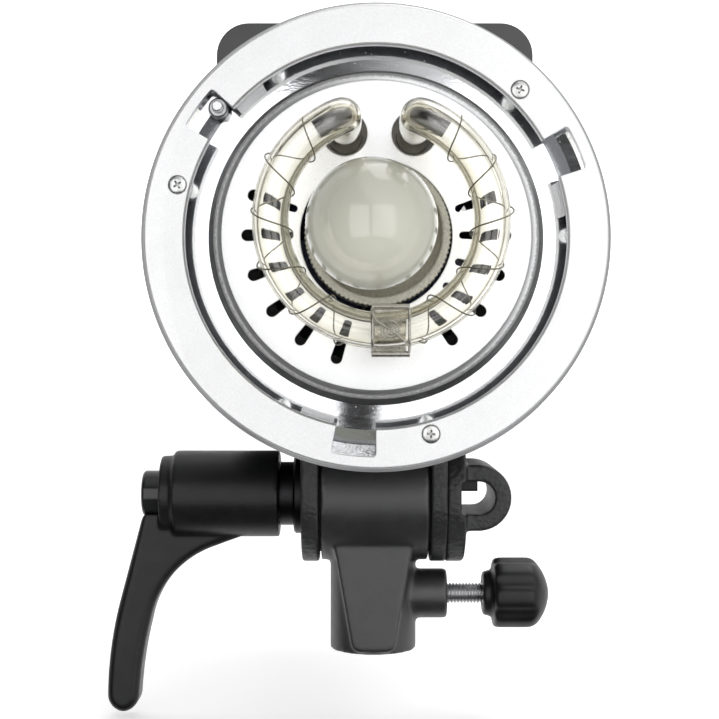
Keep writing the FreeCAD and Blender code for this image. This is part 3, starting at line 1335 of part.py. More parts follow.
def flash_capacitors():
    """Four round cans in two rows."""
    piece = Piece("flash_capacitors", LAMP)
    spots = [(f"{a}*(cap_can_r+1)", f"{b}*(cap_can_r+1)+8") for a in (-1, 1) for b in (-1, 1)]
    piece.pad("Y", "cap_can_front", "cap_can_rear", *[circle(a, b, "cap_can_r") for a, b in spots])
    piece.soften("Fillet", "1.5", lambda edge: (
        lies(edge, "Y", "cap_can_front") or lies(edge, "Y", "cap_can_rear")))


def main_board():
    """Power board with its coil, rectifier and relays."""
    piece = Piece("main_board", ("0", "0", "lamp_up-case_low+case_wall"))
    low = "9"
    piece.pad("Z", low, f"{low}+board_thick",
              rectangle("-board_half_x", "board_half_x", "board_front", "board_rear"))
    blocks = (
        (-30, 74, 8, 9, 16),
        (-8, 80, 7, 12, 12),
        (28, 96, 9, 8, 14),
        (-32, 100, 5, 5, 18),
        (30, 72, 8, 10, 18),
    )
    for across, back, half_x, half_y, tall in blocks:
        piece.pad("Z", low, f"{low}+{tall}", rounded(
            f"{across - half_x}", f"{across + half_x}", f"{back - half_y}", f"{back + half_y}", "1"))
    feet = [circle(f"{a}*(board_half_x-4)", b, "3")
            for a in (-1, 1) for b in ("board_front+4", "board_rear-4")]
    piece.pad("Z", "0", low, *feet)


def control_board():
    """Board behind the keys and the display."""
    piece = Piece("control_board", LAMP)
    rear = f"{PANEL_IN}-7"
    piece.pad("Y", f"{rear}-board_thick", rear, rectangle("-48", "34", "24", "68"))
    piece.pad("Y", f"{rear}-6", rear, rounded("-40", "-20", "34", "50", "1"))
    posts = [circle(a, b, "2.4") for a in ("-45", "31") for b in ("44", "65")]
    piece.pad("Y", rear, PANEL_IN, *posts)
    piece.pocket("Y", f"{rear}-7", f"{rear}+1", circle("dial_x", "dial_up", "3.4"))


# ---------------------------------------------------------------- build

for build in (bracket_casting, stand_socket_liner, stand_clamp_pad, stand_clamp_screw,
              stand_clamp_knob, tilt_yoke, tilt_friction_washers, tilt_bolt, umbrella_holder,
              umbrella_shoe, umbrella_shoe_spring, lever_flange_washer, lever_insert, lever_spindle,
              lever_spring, lever_handle, lever_end_cap, mount_ring, ring_screws, ring_posts, stop_blocks,
              recess_floor, lock_sleeve, lock_pin, lock_slider, lock_spring, front_bezel, reflector,
              flash_tube, tube_electrodes, trigger_wire, tube_clip, tube_sockets, lamp_holder, bulb_base,
              bulb_glass, front_bulkhead, case_screws, rear_panel, display_window, power_dial,
              sync_socket, slave_cell, mains_inlet, inlet_pins, power_switch_frame, power_rocker, fuse_cap,
              fan_frame, fan_rotor, rear_handle, flash_capacitors, main_board,
              control_board):
    build()
casing("upper_casing", True)
casing("lower_casing", False)
for name, place in KEYS.items():
    key(name, place)
doc.recompute()

failed = [item.Name for item in doc.Objects if "Invalid" in item.State or "Error" in item.State]
if failed:
    raise RuntimeError(f"failed: {failed}")
os.makedirs("parts", exist_ok=True)
for item in doc.Objects:
    if item.TypeId not in ("PartDesign::Body", "Part::Feature"):
        continue
    if item.Shape.isNull() or not item.Shape.isValid():
        raise RuntimeError(f"{item.Label} has no valid shape")
    item.Shape.exportStep(f"parts/{item.Label}.step")
    print(item.Label, len(item.Shape.Solids), round(item.Shape.Volume / 1000, 2))
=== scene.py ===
import json
import math

import bmesh
import bpy
from bpy.props import FloatProperty, FloatVectorProperty, IntProperty, PointerProperty
from bpy.types import Operator, Panel, PropertyGroup
from mathutils import Matrix, Vector


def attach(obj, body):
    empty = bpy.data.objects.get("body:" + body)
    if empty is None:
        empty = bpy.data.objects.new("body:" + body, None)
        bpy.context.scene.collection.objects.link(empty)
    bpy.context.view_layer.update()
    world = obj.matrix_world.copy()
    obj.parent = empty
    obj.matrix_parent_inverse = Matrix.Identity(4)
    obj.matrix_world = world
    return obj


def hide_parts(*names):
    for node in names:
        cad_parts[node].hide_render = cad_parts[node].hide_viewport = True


bl_info = {
    "name": "Monolight Strobe",
    "version": (1, 0, 0),
    "blender": (4, 5, 0),
    "location": "View3D > Sidebar > Strobe",
    "description": "Finishes and detail pieces for a studio flash head on its tilting bracket",
    "category": "Object",
}

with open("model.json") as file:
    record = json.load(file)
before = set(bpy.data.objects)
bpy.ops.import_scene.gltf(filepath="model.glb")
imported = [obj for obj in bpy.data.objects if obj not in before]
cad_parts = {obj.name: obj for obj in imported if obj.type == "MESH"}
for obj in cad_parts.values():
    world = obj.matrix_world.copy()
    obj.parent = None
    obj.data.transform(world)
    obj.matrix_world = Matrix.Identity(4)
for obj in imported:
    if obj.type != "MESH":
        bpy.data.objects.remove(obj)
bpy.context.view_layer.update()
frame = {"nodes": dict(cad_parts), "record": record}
NODES = frame["nodes"]
SLOT_OF = {part["node"]: part["material_slot"] for part in frame["record"]["subparts"]}
BODY_OF = {node: body for body, members in frame["record"]["behaviour"]["bodies"].items() for node in members}

FACE = -0.105
LAMP = 0.149
TILT = 0.059
CLAMP = 0.0207
PANEL = 0.146
ALONG_X = Vector((1, 0, 0))
ALONG_Y = Vector((0, 1, 0))
ALONG_Z = Vector((0, 0, 1))
TUBE = Vector((0.001, FACE - 0.041, LAMP + 0.0012))
TUBE_RING = 0.0315
TUBE_GAP = 32.0
TUBE_BEND = 0.007
CLIP_SHIFT = 0.0026
RING_SCREWS = 0.0641
RING_SCREW_TURN = 45.5
ARM_TOP = TILT - 0.018
ARM_ROUND = 0.0018
CAMERA_AT = (-0.0052, -0.555, 0.1105)
VIEW_ANGLE = 28.0
LAMP_FAR = 1.3
FLOOR_UP = -0.0265
STAGE_HALF = 4.0
WALL_R = 3.9
DIAL = Vector((0.033, PANEL, 0.203))
KEY_ROW = 0.181


def colour(name, description, default):
    return FloatVectorProperty(name=name, description=description, default=default,
                               subtype="COLOR", size=3, min=0, max=1)


def length(name, description, default):
    return FloatProperty(name=name, description=description, default=default,
                         subtype="DISTANCE", unit="LENGTH")


# ---------------------------------------------------------------- sizes and colours

class STROBE_PG_sizes(PropertyGroup):
    """Sizes of the detail pieces."""

    bulb_radius: length("Bulb radius", "Radius of the modelling bulb's globe", 0.0195)
    bulb_shift: length("Bulb shift", "How far the globe's middle stands to the left of the lamp axis", 0.0016)
    bulb_lean: FloatProperty(name="Bulb lean", description="Angle of the bulb off the lamp axis",
                             default=math.radians(2.6), subtype="ANGLE", unit="ROTATION")
    wire: length("Trigger wire", "Radius of the trigger wire", 0.00022)
    wire_reach: length("Wire reach", "Distance from the tube's centre line to the trigger wire", 0.0059)
    wire_turns: IntProperty(name="Wire turns", description="Turns of the trigger wire on each side",
                            default=5, min=1)
    thread_radius: length("Thread radius", "Radius of the clamp screw's thread", 0.0039)
    thread_pitch: length("Thread pitch", "Pitch of the clamp screw's thread", 0.00125)
    lip_teeth: IntProperty(name="Lip teeth", description="Fine teeth round the porcelain lip",
                           default=90, min=12)
    floor_slope: FloatProperty(name="Floor slope", description="Slope of the chrome floor",
                               default=math.radians(8), subtype="ANGLE", unit="ROTATION")
    cast_grain: length("Cast step", "Step of the mesh on cast and moulded pieces", 0.0007)
    fan_blades: IntProperty(name="Fan blades", description="Blades on the fan", default=7, min=3)


class STROBE_PG_colours(PropertyGroup):
    """Colours of the finishes."""

    black: colour("Black", "Cast and moulded black pieces", (0.017, 0.0175, 0.0185))
    grey: colour("Grey", "Rear panel", (0.16, 0.16, 0.165))
    bright: colour("Bright metal", "Mount ring and reflector", (0.94, 0.945, 0.95))
    steel: colour("Steel", "Turned steel pieces", (0.56, 0.56, 0.57))
    opal: colour("Opal glass", "Modelling bulb", (0.49, 0.49, 0.42))
    warm: colour("Warm glass", "Coating of the flash tube", (0.79, 0.73, 0.50))
    cream: colour("Porcelain", "Lamp holder", (0.50, 0.48, 0.40))
    mark: colour("Marks", "Printed marks on the rear panel", (0.78, 0.78, 0.76))
    floor: colour("Floor", "Floor under the object", (0.86, 0.86, 0.86))


def sizes():
    return bpy.context.scene.strobe_sizes


def colours():
    return bpy.context.scene.strobe_colours


# ---------------------------------------------------------------- shader sums

class Amount:
    """A socket whose sums are written as Python expressions."""

    def __init__(self, finish, socket):
        self.finish = finish
        self.socket = socket

    def sum(self, operation, first, second, clamp=False):
        settings = {"operation": operation, "use_clamp": clamp}
        node = self.finish.node("ShaderNodeMath", settings, first, second)
        return Amount(self.finish, node.outputs[0])

    def __add__(self, other):
        return self.sum("ADD", self, other)

    def __sub__(self, other):
        return self.sum("SUBTRACT", self, other)

    def __rsub__(self, other):
        return self.sum("SUBTRACT", other, self)

    def __mul__(self, other):
        return self.sum("MULTIPLY", self, other)

    def __pow__(self, other):
        return self.sum("POWER", self, other)

    def __gt__(self, other):
        return self.sum("GREATER_THAN", self, other)

    __radd__ = __add__
    __rmul__ = __mul__

    def most(self, other):
        return self.sum("MAXIMUM", self, other)

    def span(self, low, high, start=0.0, end=1.0):
        """This amount, with low to high stretched over start to end."""
        node = self.finish.node("ShaderNodeMapRange", {}, self, low, high, start, end)
        return Amount(self.finish, node.outputs[0])


class Finish:
    """One material made of nodes."""

    made = {}

    def __init__(self, name, **constants):
        self.material = bpy.data.materials.new(name)
        self.material.use_nodes = True
        self.tree = self.material.node_tree
        self.shader = self.tree.nodes["Principled BSDF"]
        self.place = self.node("ShaderNodeTexCoord").outputs["Object"]
        for word, value in constants.items():
            self.fill(self.shader.inputs[word.replace("_", " ")], value)
        Finish.made[name] = self.material

    def fill(self, socket, value):
        if isinstance(value, Amount):
            value = value.socket
        if isinstance(value, bpy.types.NodeSocket):
            self.tree.links.new(value, socket)
        else:
            socket.default_value = value

    def node(self, kind, settings=None, *values, **named):
        node = self.tree.nodes.new(kind)
        for word, setting in (settings or {}).items():
            setattr(node, word, setting)
        for key, value in [*enumerate(values), *named.items()]:
            self.fill(node.inputs[key.replace("_", " ") if isinstance(key, str) else key], value)
        return node

    def stretched(self, scale, turn=(0, 0, 0)):
        """The piece's own coordinates, scaled and turned."""
        return self.node("ShaderNodeMapping", {}, Vector=self.place, Scale=scale, Rotation=turn).outputs[0]

    def noise(self, scale, detail=3.0, rough=0.5, place=None):
        node = self.node("ShaderNodeTexNoise", {}, Vector=place or self.place,
                         Scale=scale, Detail=detail, Roughness=rough)
        return Amount(self, node.outputs[0])

    def cells(self, scale, feature="F1", place=None):
        node = self.node("ShaderNodeTexVoronoi", {"feature": feature},
                         Vector=place or self.place, Scale=scale)
        return Amount(self, node.outputs["Distance"])

    def mixed(self, share, first, second):
        node = self.node("ShaderNodeMix", {"data_type": "RGBA"})
        for place, value in ((0, share), (6, first), (7, second)):
            self.fill(node.inputs[place], value)
        return node.outputs[2]

    def edges(self, radius):
        """(rounded normal, how sharp the edge is here)."""
        rounded = self.node("ShaderNodeBevel", {"samples": 4}, Radius=radius).outputs[0]
        normal = self.node("ShaderNodeNewGeometry").outputs["Normal"]
        dot = self.node("ShaderNodeVectorMath", {"operation": "DOT_PRODUCT"}, rounded, normal)
        return rounded, (1 - Amount(self, dot.outputs["Value"])).span(0.02, 0.25)

    def facing(self, blend):
        """0 where the surface faces the viewer, 1 at its edge; for gloss and glass."""
        return Amount(self, self.node("ShaderNodeLayerWeight", {}, Blend=blend).outputs["Facing"])

    def from_lamp(self):
        """Distance from the lamp axis."""
        flat = self.node("ShaderNodeMapping", {}, Vector=self.place,
                         Location=(0, 0, -LAMP), Scale=(1, 0, 1)).outputs[0]
        far = self.node("ShaderNodeVectorMath", {"operation": "LENGTH"}, flat).outputs["Value"]
        return flat, Amount(self, far)

    def give(self, **sockets):
        for word, value in sockets.items():
            self.fill(self.shader.inputs[word.replace("_", " ")], value)

    def bumped(self, height, depth, normal=None, strength=1.0):
        node = self.node("ShaderNodeBump", {}, Strength=strength, Distance=depth, Height=height)
        if normal is not None:
            self.fill(node.inputs["Normal"], normal)
        self.give(Normal=node.outputs[0])


def rgba(value, gain=1.0):
    return (value[0] * gain, value[1] * gain, value[2] * gain, 1.0)


# ---------------------------------------------------------------- finishes

def black_finish(name, tone, rough, grain, depth, cells=False, wear=0.5, round_off=0.0006, sheen=1.5):
    """Satin black skin: fine grain, uneven gloss, handled edges and a little dust."""
    finish = Finish(name, IOR=sheen)
    normal, edge = finish.edges(round_off)
    patch = finish.noise(120, 4, 0.6)
    dust = finish.noise(2600, 2, 0.7).span(0.70, 0.78)
    rub = (finish.noise(160, 3, 0.6) * edge).span(0.15, 0.6, 0, wear)
    base = finish.mixed(patch.span(0.35, 0.7, 0, 1),
                        rgba(colours().black, tone * 0.85), rgba(colours().black, tone * 1.25))
    base = finish.mixed(dust * 0.08 + rub * 0.35, base, (0.16, 0.16, 0.165, 1))
    skin = finish.noise(240, 3).span(0.3, 0.7, rough - 0.03, rough + 0.04)
    finish.give(Base_Color=base, Roughness=skin - rub * 0.12)
    if cells:
        pebble = finish.cells(grain, "SMOOTH_F1").span(0.1, 0.75, 1, 0)
        height = pebble * 0.8 + finish.noise(grain * 2.1, 2) * 0.35
    else:
        height = finish.noise(grain, 3, 0.55) + finish.noise(grain * 0.22, 2) * 0.5
    finish.bumped(height, depth, normal)
    return finish


def metal_finish(name, tone, rough, spread, scale=(1, 1, 1), depth=0.00002, tint=None, round_off=0.0003):
    """Bare metal with fine tool marks, faint stains and brighter edges."""
    finish = Finish(name, Metallic=1.0)
    normal, edge = finish.edges(round_off)
    marks = finish.noise(900, 4, 0.7, finish.stretched(scale))
    stain = finish.noise(45, 5, 0.65).span(0.35, 0.75)
    base = finish.mixed(stain * 0.6, rgba(tone), rgba(tint or tone, 0.8))
    finish.give(Base_Color=finish.mixed(edge * 0.5, base, rgba(tone, 1.05)),
                Roughness=(marks.span(0.3, 0.7, rough, rough + spread) + stain * 0.06))
    finish.bumped(marks, depth, normal)
    return finish


def plain_finish(name, tone, rough, grain=400.0, depth=0.00003, **constants):
    """Moulded, fired or printed stuff: a little mottle and a soft skin."""
    finish = Finish(name, **constants)
    normal, edge = finish.edges(0.0003)
    mottle = finish.noise(grain * 0.2, 4, 0.6).span(0.3, 0.7)
    base = finish.mixed(mottle, rgba(tone, 0.88), rgba(tone, 1.06))
    finish.give(Base_Color=finish.mixed(edge * 0.25, base, rgba(tone, 1.35)),
                Roughness=finish.noise(grain * 0.4, 3).span(0.3, 0.7, rough - 0.03, rough + 0.08))
    finish.bumped(finish.noise(grain, 3), depth, normal)
    return finish


def chrome_finish():
    """Bright plating with grains of dust and faint wipe marks."""
    finish = Finish("chrome", Metallic=1.0)
    speck = (1 - finish.cells(420)).span(0.93, 0.965)
    fine = (1 - finish.cells(1100)).span(0.93, 0.97)
    dust = speck.most(fine * 0.7)
    wipe = finish.noise(70, 5, 0.7, finish.stretched((1, 1, 3)))
    finish.give(Base_Color=finish.mixed(dust * 0.8, (0.80, 0.81, 0.83, 1), (0.95, 0.95, 0.95, 1)),
                Roughness=wipe.span(0.3, 0.75, 0.05, 0.12) + dust * 0.5,
                Metallic=1 - dust * 0.9)
    finish.bumped(wipe + dust, 0.00003)
    return finish


def ring_finish():
    """Bead-blasted bright aluminium with a fine sparkle and painted shade on its outer rounded edge."""
    finish = Finish("ring_aluminium", Metallic=1.0)
    normal, edge = finish.edges(0.0004)
    reach = finish.from_lamp()[1]
    # Painted shade: the ring's outermost band is laid in dark, as shade on its rounded edge.
    painted_rim_shade = reach.span(0.0724, 0.0728)
    grain = finish.noise(2300, 3, 0.75)
    scuff = finish.noise(60, 5, 0.65).span(0.45, 0.8)
    base = finish.mixed(grain.span(0.3, 0.7), rgba(colours().bright, 0.84), rgba(colours().bright, 1.01))
    base = finish.mixed(scuff * 0.2, base, (0.66, 0.66, 0.67, 1))
    finish.give(Base_Color=finish.mixed(painted_rim_shade * 0.85, base, (0.20, 0.20, 0.21, 1)),
                Roughness=grain.span(0.3, 0.7, 0.38, 0.54) - edge * 0.1)
    finish.bumped(grain + scuff * 0.4, 0.00003, normal)
    return finish


def reflector_finish():
    """Spun bright sheet whose plateau turns sandy towards its rim, with painted shade laid in as a ragged
    dark band at the rim.
    """
    finish = Finish("reflector_aluminium", Metallic=1.0)
    normal = finish.edges(0.0005)[0]
    flat, reach = finish.from_lamp()
    sand = finish.noise(1500, 4, 0.75)
    rim = reach.span(0.036, 0.050)
    coarse = (sand * rim).span(0.28, 0.62)
    # Painted shade: a ragged dark band at the dish's rounded rim.
    ragged_rim_shade = (reach + sand * 0.0012).span(0.0502, 0.0509)
    rings = {"wave_type": "RINGS", "rings_direction": "SPHERICAL"}
    wave = finish.node("ShaderNodeTexWave", rings, Vector=flat, Scale=900.0, Distortion=0.6)
    lines = Amount(finish, wave.outputs["Fac"])
    base = finish.mixed(sand.span(0.3, 0.7), rgba(colours().bright, 0.98), rgba(colours().bright, 1.08))
    base = finish.mixed(coarse * 0.5, base, (0.60, 0.60, 0.61, 1))
    finish.give(Base_Color=finish.mixed(ragged_rim_shade * 0.8, base, (0.10, 0.10, 0.10, 1)),
                Roughness=sand.span(0.3, 0.7, 0.26, 0.36) + rim * 0.14)
    finish.bumped(sand * rim * 2.0 + lines * 0.15, 0.000035, normal)
    return finish


def tube_finish():
    """Clear quartz with a pale olive coating that shows where the wall is seen edge on."""
    finish = Finish("clear_glass", IOR=1.42, Transmission_Weight=1.0)
    streak = finish.noise(70, 3, 0.6)
    side = finish.facing(0.5) ** 1.2
    base = finish.mixed((side + streak.span(0.4, 0.8, 0, 0.1)), (0.985, 0.98, 0.95, 1), rgba(colours().warm))
    finish.give(Base_Color=base, Roughness=streak.span(0.35, 0.8, 0.0, 0.05))
    finish.bumped(streak, 0.00004)
    return finish


def opal_finish():
    """Opal glass: even and softly glossy, with a painted sheen that makes it a little paler where it is seen
    edge on.
    """
    finish = Finish("opal_glass", IOR=1.62)
    cloud = finish.noise(24, 3, 0.5)
    base = finish.mixed(cloud.span(0.35, 0.7, 0, 0.4), rgba(colours().opal), rgba(colours().opal, 0.94))
    # Painted sheen: the colour turns paler where the globe is seen edge on.
    base = finish.mixed((finish.facing(0.25) ** 3.0) * 0.5, base, rgba(colours().opal, 1.4))
    finish.give(Base_Color=base, Roughness=cloud.span(0.3, 0.7, 0.09, 0.12))
    finish.bumped(cloud, 0.00003)
    return finish


def porcelain_finish():
    """Glazed porcelain, speckled with darker grains."""
    finish = Finish("porcelain", Coat_Weight=0.2, Coat_Roughness=0.15)
    normal, edge = finish.edges(0.0003)
    grain = finish.noise(1400, 3, 0.7).span(0.35, 0.65)
    fleck = (1 - finish.cells(1500)).span(0.86, 0.92)
    base = finish.mixed(grain, rgba(colours().cream, 0.8), rgba(colours().cream, 1.1))
    finish.give(Base_Color=finish.mixed(fleck * 0.5, base, rgba(colours().cream, 0.35)),
                Roughness=grain.span(0, 1, 0.28, 0.45) - edge * 0.05)
    finish.bumped(grain, 0.00002, normal)
    return finish


def make_finishes():
    """Every finish, named for the slot it goes on."""
    black_finish("black_casting", 0.9, 0.43, 700, 0.00004, round_off=0.0008, sheen=1.8)
    black_finish("black_leatherette", 1.0, 0.42, 620, 0.00022, cells=True)
    black_finish("black_plastic", 0.4, 0.37, 1700, 0.00003, sheen=1.42)
    black_finish("gloss_black", 0.7, 0.15, 300, 0.00001, wear=0.2)
    plain_finish("grey_plastic", colours().grey, 0.48, 1500, 0.00004)
    metal_finish("blackened_steel", (0.045, 0.045, 0.048), 0.3, 0.15, (1, 5, 5), tint=(0.02, 0.02, 0.02))
    metal_finish("steel", colours().steel, 0.24, 0.18, (1, 6, 6))
    metal_finish("zinc", (0.74, 0.75, 0.76), 0.2, 0.16, (3, 3, 1), tint=(0.70, 0.70, 0.62))
    metal_finish("brass", (0.74, 0.55, 0.27), 0.24, 0.16, (1, 5, 1), tint=(0.55, 0.38, 0.18))
    chrome_finish()
    ring_finish()
    reflector_finish()
    tube_finish()
    opal_finish()
    porcelain_finish()
    plain_finish("ceramic", (0.80, 0.77, 0.72), 0.6, 900, 0.00006)
    plain_finish("fibre", (0.022, 0.02, 0.019), 0.75, 1100, 0.00008)
    plain_finish("window", (0.012, 0.016, 0.017), 0.06, 60, 0.00001, Coat_Weight=0.6, Coat_Roughness=0.02)
    plain_finish("sensor_red", (0.16, 0.008, 0.01), 0.08, 80, 0.00001, Coat_Weight=0.7, Coat_Roughness=0.03)
    plain_finish("board_green", (0.015, 0.11, 0.05), 0.35, 700, 0.00004)
    plain_finish("can_blue", (0.02, 0.035, 0.13), 0.28, 120, 0.00003, Coat_Weight=0.3)
    lit = Finish("lit_segments", Base_Color=(0.25, 0.01, 0.005, 1), Emission_Strength=1.6)
    lit.give(Emission_Color=lit.mixed(lit.noise(300), (1.0, 0.10, 0.03, 1), (0.9, 0.05, 0.02, 1)),
             Roughness=lit.noise(500).span(0.3, 0.7, 0.3, 0.4))
    metal_finish("winding_wire", (0.20, 0.19, 0.15), 0.3, 0.15, tint=(0.30, 0.27, 0.18))
    metal_finish("cathode", (0.23, 0.23, 0.24), 0.2, 0.2, (4, 1, 4), tint=(0.08, 0.08, 0.085))
    metal_finish("clip_steel", (0.50, 0.49, 0.46), 0.2, 0.15, tint=(0.30, 0.25, 0.16))
    plain_finish("printed_marks", colours().mark, 0.5, 900, 0.00001)


# ---------------------------------------------------------------- meshes

def closed_normals(mesh):
    bmesh.ops.remove_doubles(mesh, verts=mesh.verts, dist=0.000001)
    bmesh.ops.recalc_face_normals(mesh, faces=mesh.faces)


def turned(mesh, profile, centre, axis, across, steps=96):
    """Spins a profile of (along the axis, radius) points all the way round."""
    points = [mesh.verts.new(centre + axis * along + across * radius) for along, radius in profile]
    edges = [mesh.edges.new(pair) for pair in zip(points, points[1:])]
    bmesh.ops.spin(mesh, geom=points + edges, cent=centre, axis=axis, dvec=(0, 0, 0),
                   angle=math.tau, steps=steps, use_merge=True, use_duplicate=False)
    closed_normals(mesh)


def round_points(centre, radius, first, last, count):
    """(along, radius) points on a round of a profile, from one angle to another in degrees."""
    spots = []
    for step in range(count + 1):
        angle = math.radians(first + (last - first) * step / count)
        spots.append((centre[0] + radius * math.cos(angle), centre[1] + radius * math.sin(angle)))
    return spots


def bar(mesh, path, radius, sides=10):
    """A round bar along a path: a ring of edges drawn out from point to point."""
    way = (path[1] - path[0]).normalized()
    start = Matrix.Translation(path[0]) @ ALONG_Z.rotation_difference(way).to_matrix().to_4x4()
    made = bmesh.ops.create_circle(mesh, cap_ends=True, segments=sides, radius=radius, matrix=start)
    ring = list({edge for vert in made["verts"] for edge in vert.link_edges})
    for index in range(1, len(path)):
        ahead = path[min(index + 1, len(path) - 1)] - path[index - 1]
        drawn = bmesh.ops.extrude_edge_only(mesh, edges=ring)["geom"]
        verts = [item for item in drawn if isinstance(item, bmesh.types.BMVert)]
        ring = [item for item in drawn if isinstance(item, bmesh.types.BMEdge)]
        ring = [edge for edge in ring if all(vert in verts for vert in edge.verts)]
        turn = way.rotation_difference(ahead.normalized()).to_matrix()
        bmesh.ops.rotate(mesh, verts=verts, cent=path[index - 1], matrix=turn)
        bmesh.ops.translate(mesh, verts=verts, vec=path[index] - path[index - 1])
        way = ahead.normalized()
    bmesh.ops.contextual_create(mesh, geom=ring)


def block(mesh, low, high, soft=0.0, steps=2):
    """A box between two corners, its edges rounded."""
    middle = (Vector(low) + Vector(high)) / 2
    size = Vector(high) - Vector(low)
    place = Matrix.Translation(middle) @ Matrix.Diagonal((*size, 1))
    made = bmesh.ops.create_cube(mesh, size=1, matrix=place)
    if soft:
        edges = list({edge for vert in made["verts"] for edge in vert.link_edges})
        bmesh.ops.bevel(mesh, geom=edges, offset=soft, segments=steps, affect="EDGES", profile=0.5,
                        material=-1)


def piece(name, mesh, body, slot_name, nodes=(), smooth=True, angle=35.0, material=None):
    """Turns a bmesh into a finished piece that rides on its body."""
    data = bpy.data.meshes.new(name)
    mesh.to_mesh(data)
    mesh.free()
    item = bpy.data.objects.new(name, data)
    bpy.context.scene.collection.objects.link(item)
    data.materials.append(Finish.made[material or slot_name])
    if smooth:
        data.shade_smooth()
        data.set_sharp_from_angle(angle=math.radians(angle))
    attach(item, body)
    if nodes:
        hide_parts(*nodes)
    return item


def copied(node):
    """A merged copy of a CAD node's mesh."""
    mesh = bmesh.new()
    mesh.from_mesh(NODES[node].data)
    bmesh.ops.remove_doubles(mesh, verts=mesh.verts, dist=0.00001)
    return mesh


def cast(name, node, rounds, step=None, edge_cut=None):
    """A cast or moulded piece: the CAD shape with its creases melted into rounds."""
    mesh = copied(node)
    if edge_cut:
        bmesh.ops.dissolve_limit(mesh, angle_limit=math.radians(0.5), verts=mesh.verts, edges=mesh.edges)
        rim = [edge for edge in mesh.edges if edge_cut(edge)]
        bmesh.ops.bevel(mesh, geom=rim, offset=ARM_ROUND, segments=1, affect="EDGES", profile=0.5,
                        material=-1)
    data = bpy.data.meshes.new(name)
    mesh.to_mesh(data)
    mesh.free()
    rough = bpy.data.objects.new(name + "_rough", data)
    bpy.context.scene.collection.objects.link(rough)
    remesh = rough.modifiers.new("even", "REMESH")
    remesh.mode = "VOXEL"
    remesh.voxel_size = step or sizes().cast_grain
    done = bpy.data.meshes.new_from_object(rough.evaluated_get(bpy.context.evaluated_depsgraph_get()))
    bpy.data.objects.remove(rough)
    mesh = bmesh.new()
    mesh.from_mesh(done)
    for _ in range(rounds):
        bmesh.ops.smooth_vert(mesh, verts=mesh.verts, factor=0.5,
                              use_axis_x=True, use_axis_y=True, use_axis_z=True)
    return piece(name, mesh, BODY_OF[node], SLOT_OF[node], [node], angle=60.0)


def arm_rim(edge):
    """Whether an edge runs round one of the lever arm's flat sides."""
    if len(edge.link_faces) != 2 or min(vert.co.z for vert in edge.verts) > ARM_TOP:
        return False
    return (any(abs(face.normal.y) > 0.95 for face in edge.link_faces)
            and any(abs(face.normal.y) < 0.3 for face in edge.link_faces))


def extent(node, axis):
    """Lowest and highest place of a CAD node along x, y or z (0, 1 or 2)."""
    places = [vert.co[axis] for vert in NODES[node].data.vertices]
    return min(places), max(places)


def spring(name, node, axis, wire, turns, sides=8):
    """A wound spring, filling the CAD stand-in's length and width."""
    low, high = extent(node, axis)
    across, up = [other for other in (0, 1, 2) if other != axis]
    radius = (extent(node, across)[1] - extent(node, across)[0]) / 2 - wire
    middle = Vector((0, 0, 0))
    for other in (across, up):
        middle[other] = sum(extent(node, other)) / 2
    path = []
    for step in range(int(turns * 16) + 1):
        angle = math.tau * step / 16
        spot = middle.copy()
        spot[axis] = low + wire + (high - low - 2 * wire) * step / (turns * 16)
        spot[across] += radius * math.cos(angle)
        spot[up] += radius * math.sin(angle)
        path.append(spot)
    mesh = bmesh.new()
    bar(mesh, path, wire, sides)
    return piece(name, mesh, BODY_OF[node], SLOT_OF[node], [node], angle=80.0)


# ---------------------------------------------------------------- operators

class StrobeOperator:
    """What every operator here shares."""

    bl_options = {"REGISTER", "UNDO"}


class STROBE_OT_finishes(StrobeOperator, Operator):
    """Make the finishes and put them on the CAD pieces"""

    bl_idname = "strobe.finishes"
    bl_label = "Finishes"

    def execute(self, context):
        make_finishes()
        for node, item in NODES.items():
            material = Finish.made[SLOT_OF[node]]
            if not item.material_slots:
                item.data.materials.append(material)
            for place in item.material_slots:
                place.material = material
        return {"FINISHED"}


class STROBE_OT_castings(StrobeOperator, Operator):
    """Melt the creases of the cast and moulded bracket pieces"""

    bl_idname = "strobe.castings"
    bl_label = "Castings"

    def execute(self, context):
        cast("bracket_body", "bracket_casting", 3)
        cast("yoke_body", "tilt_yoke", 2)
        cast("umbrella_cap", "umbrella_holder", 4, 0.0006)
        cast("lever_grip", "lever_handle", 6, 0.0006, arm_rim)
        cast("knob_grip", "stand_clamp_knob", 14, 0.0007)
        return {"FINISHED"}


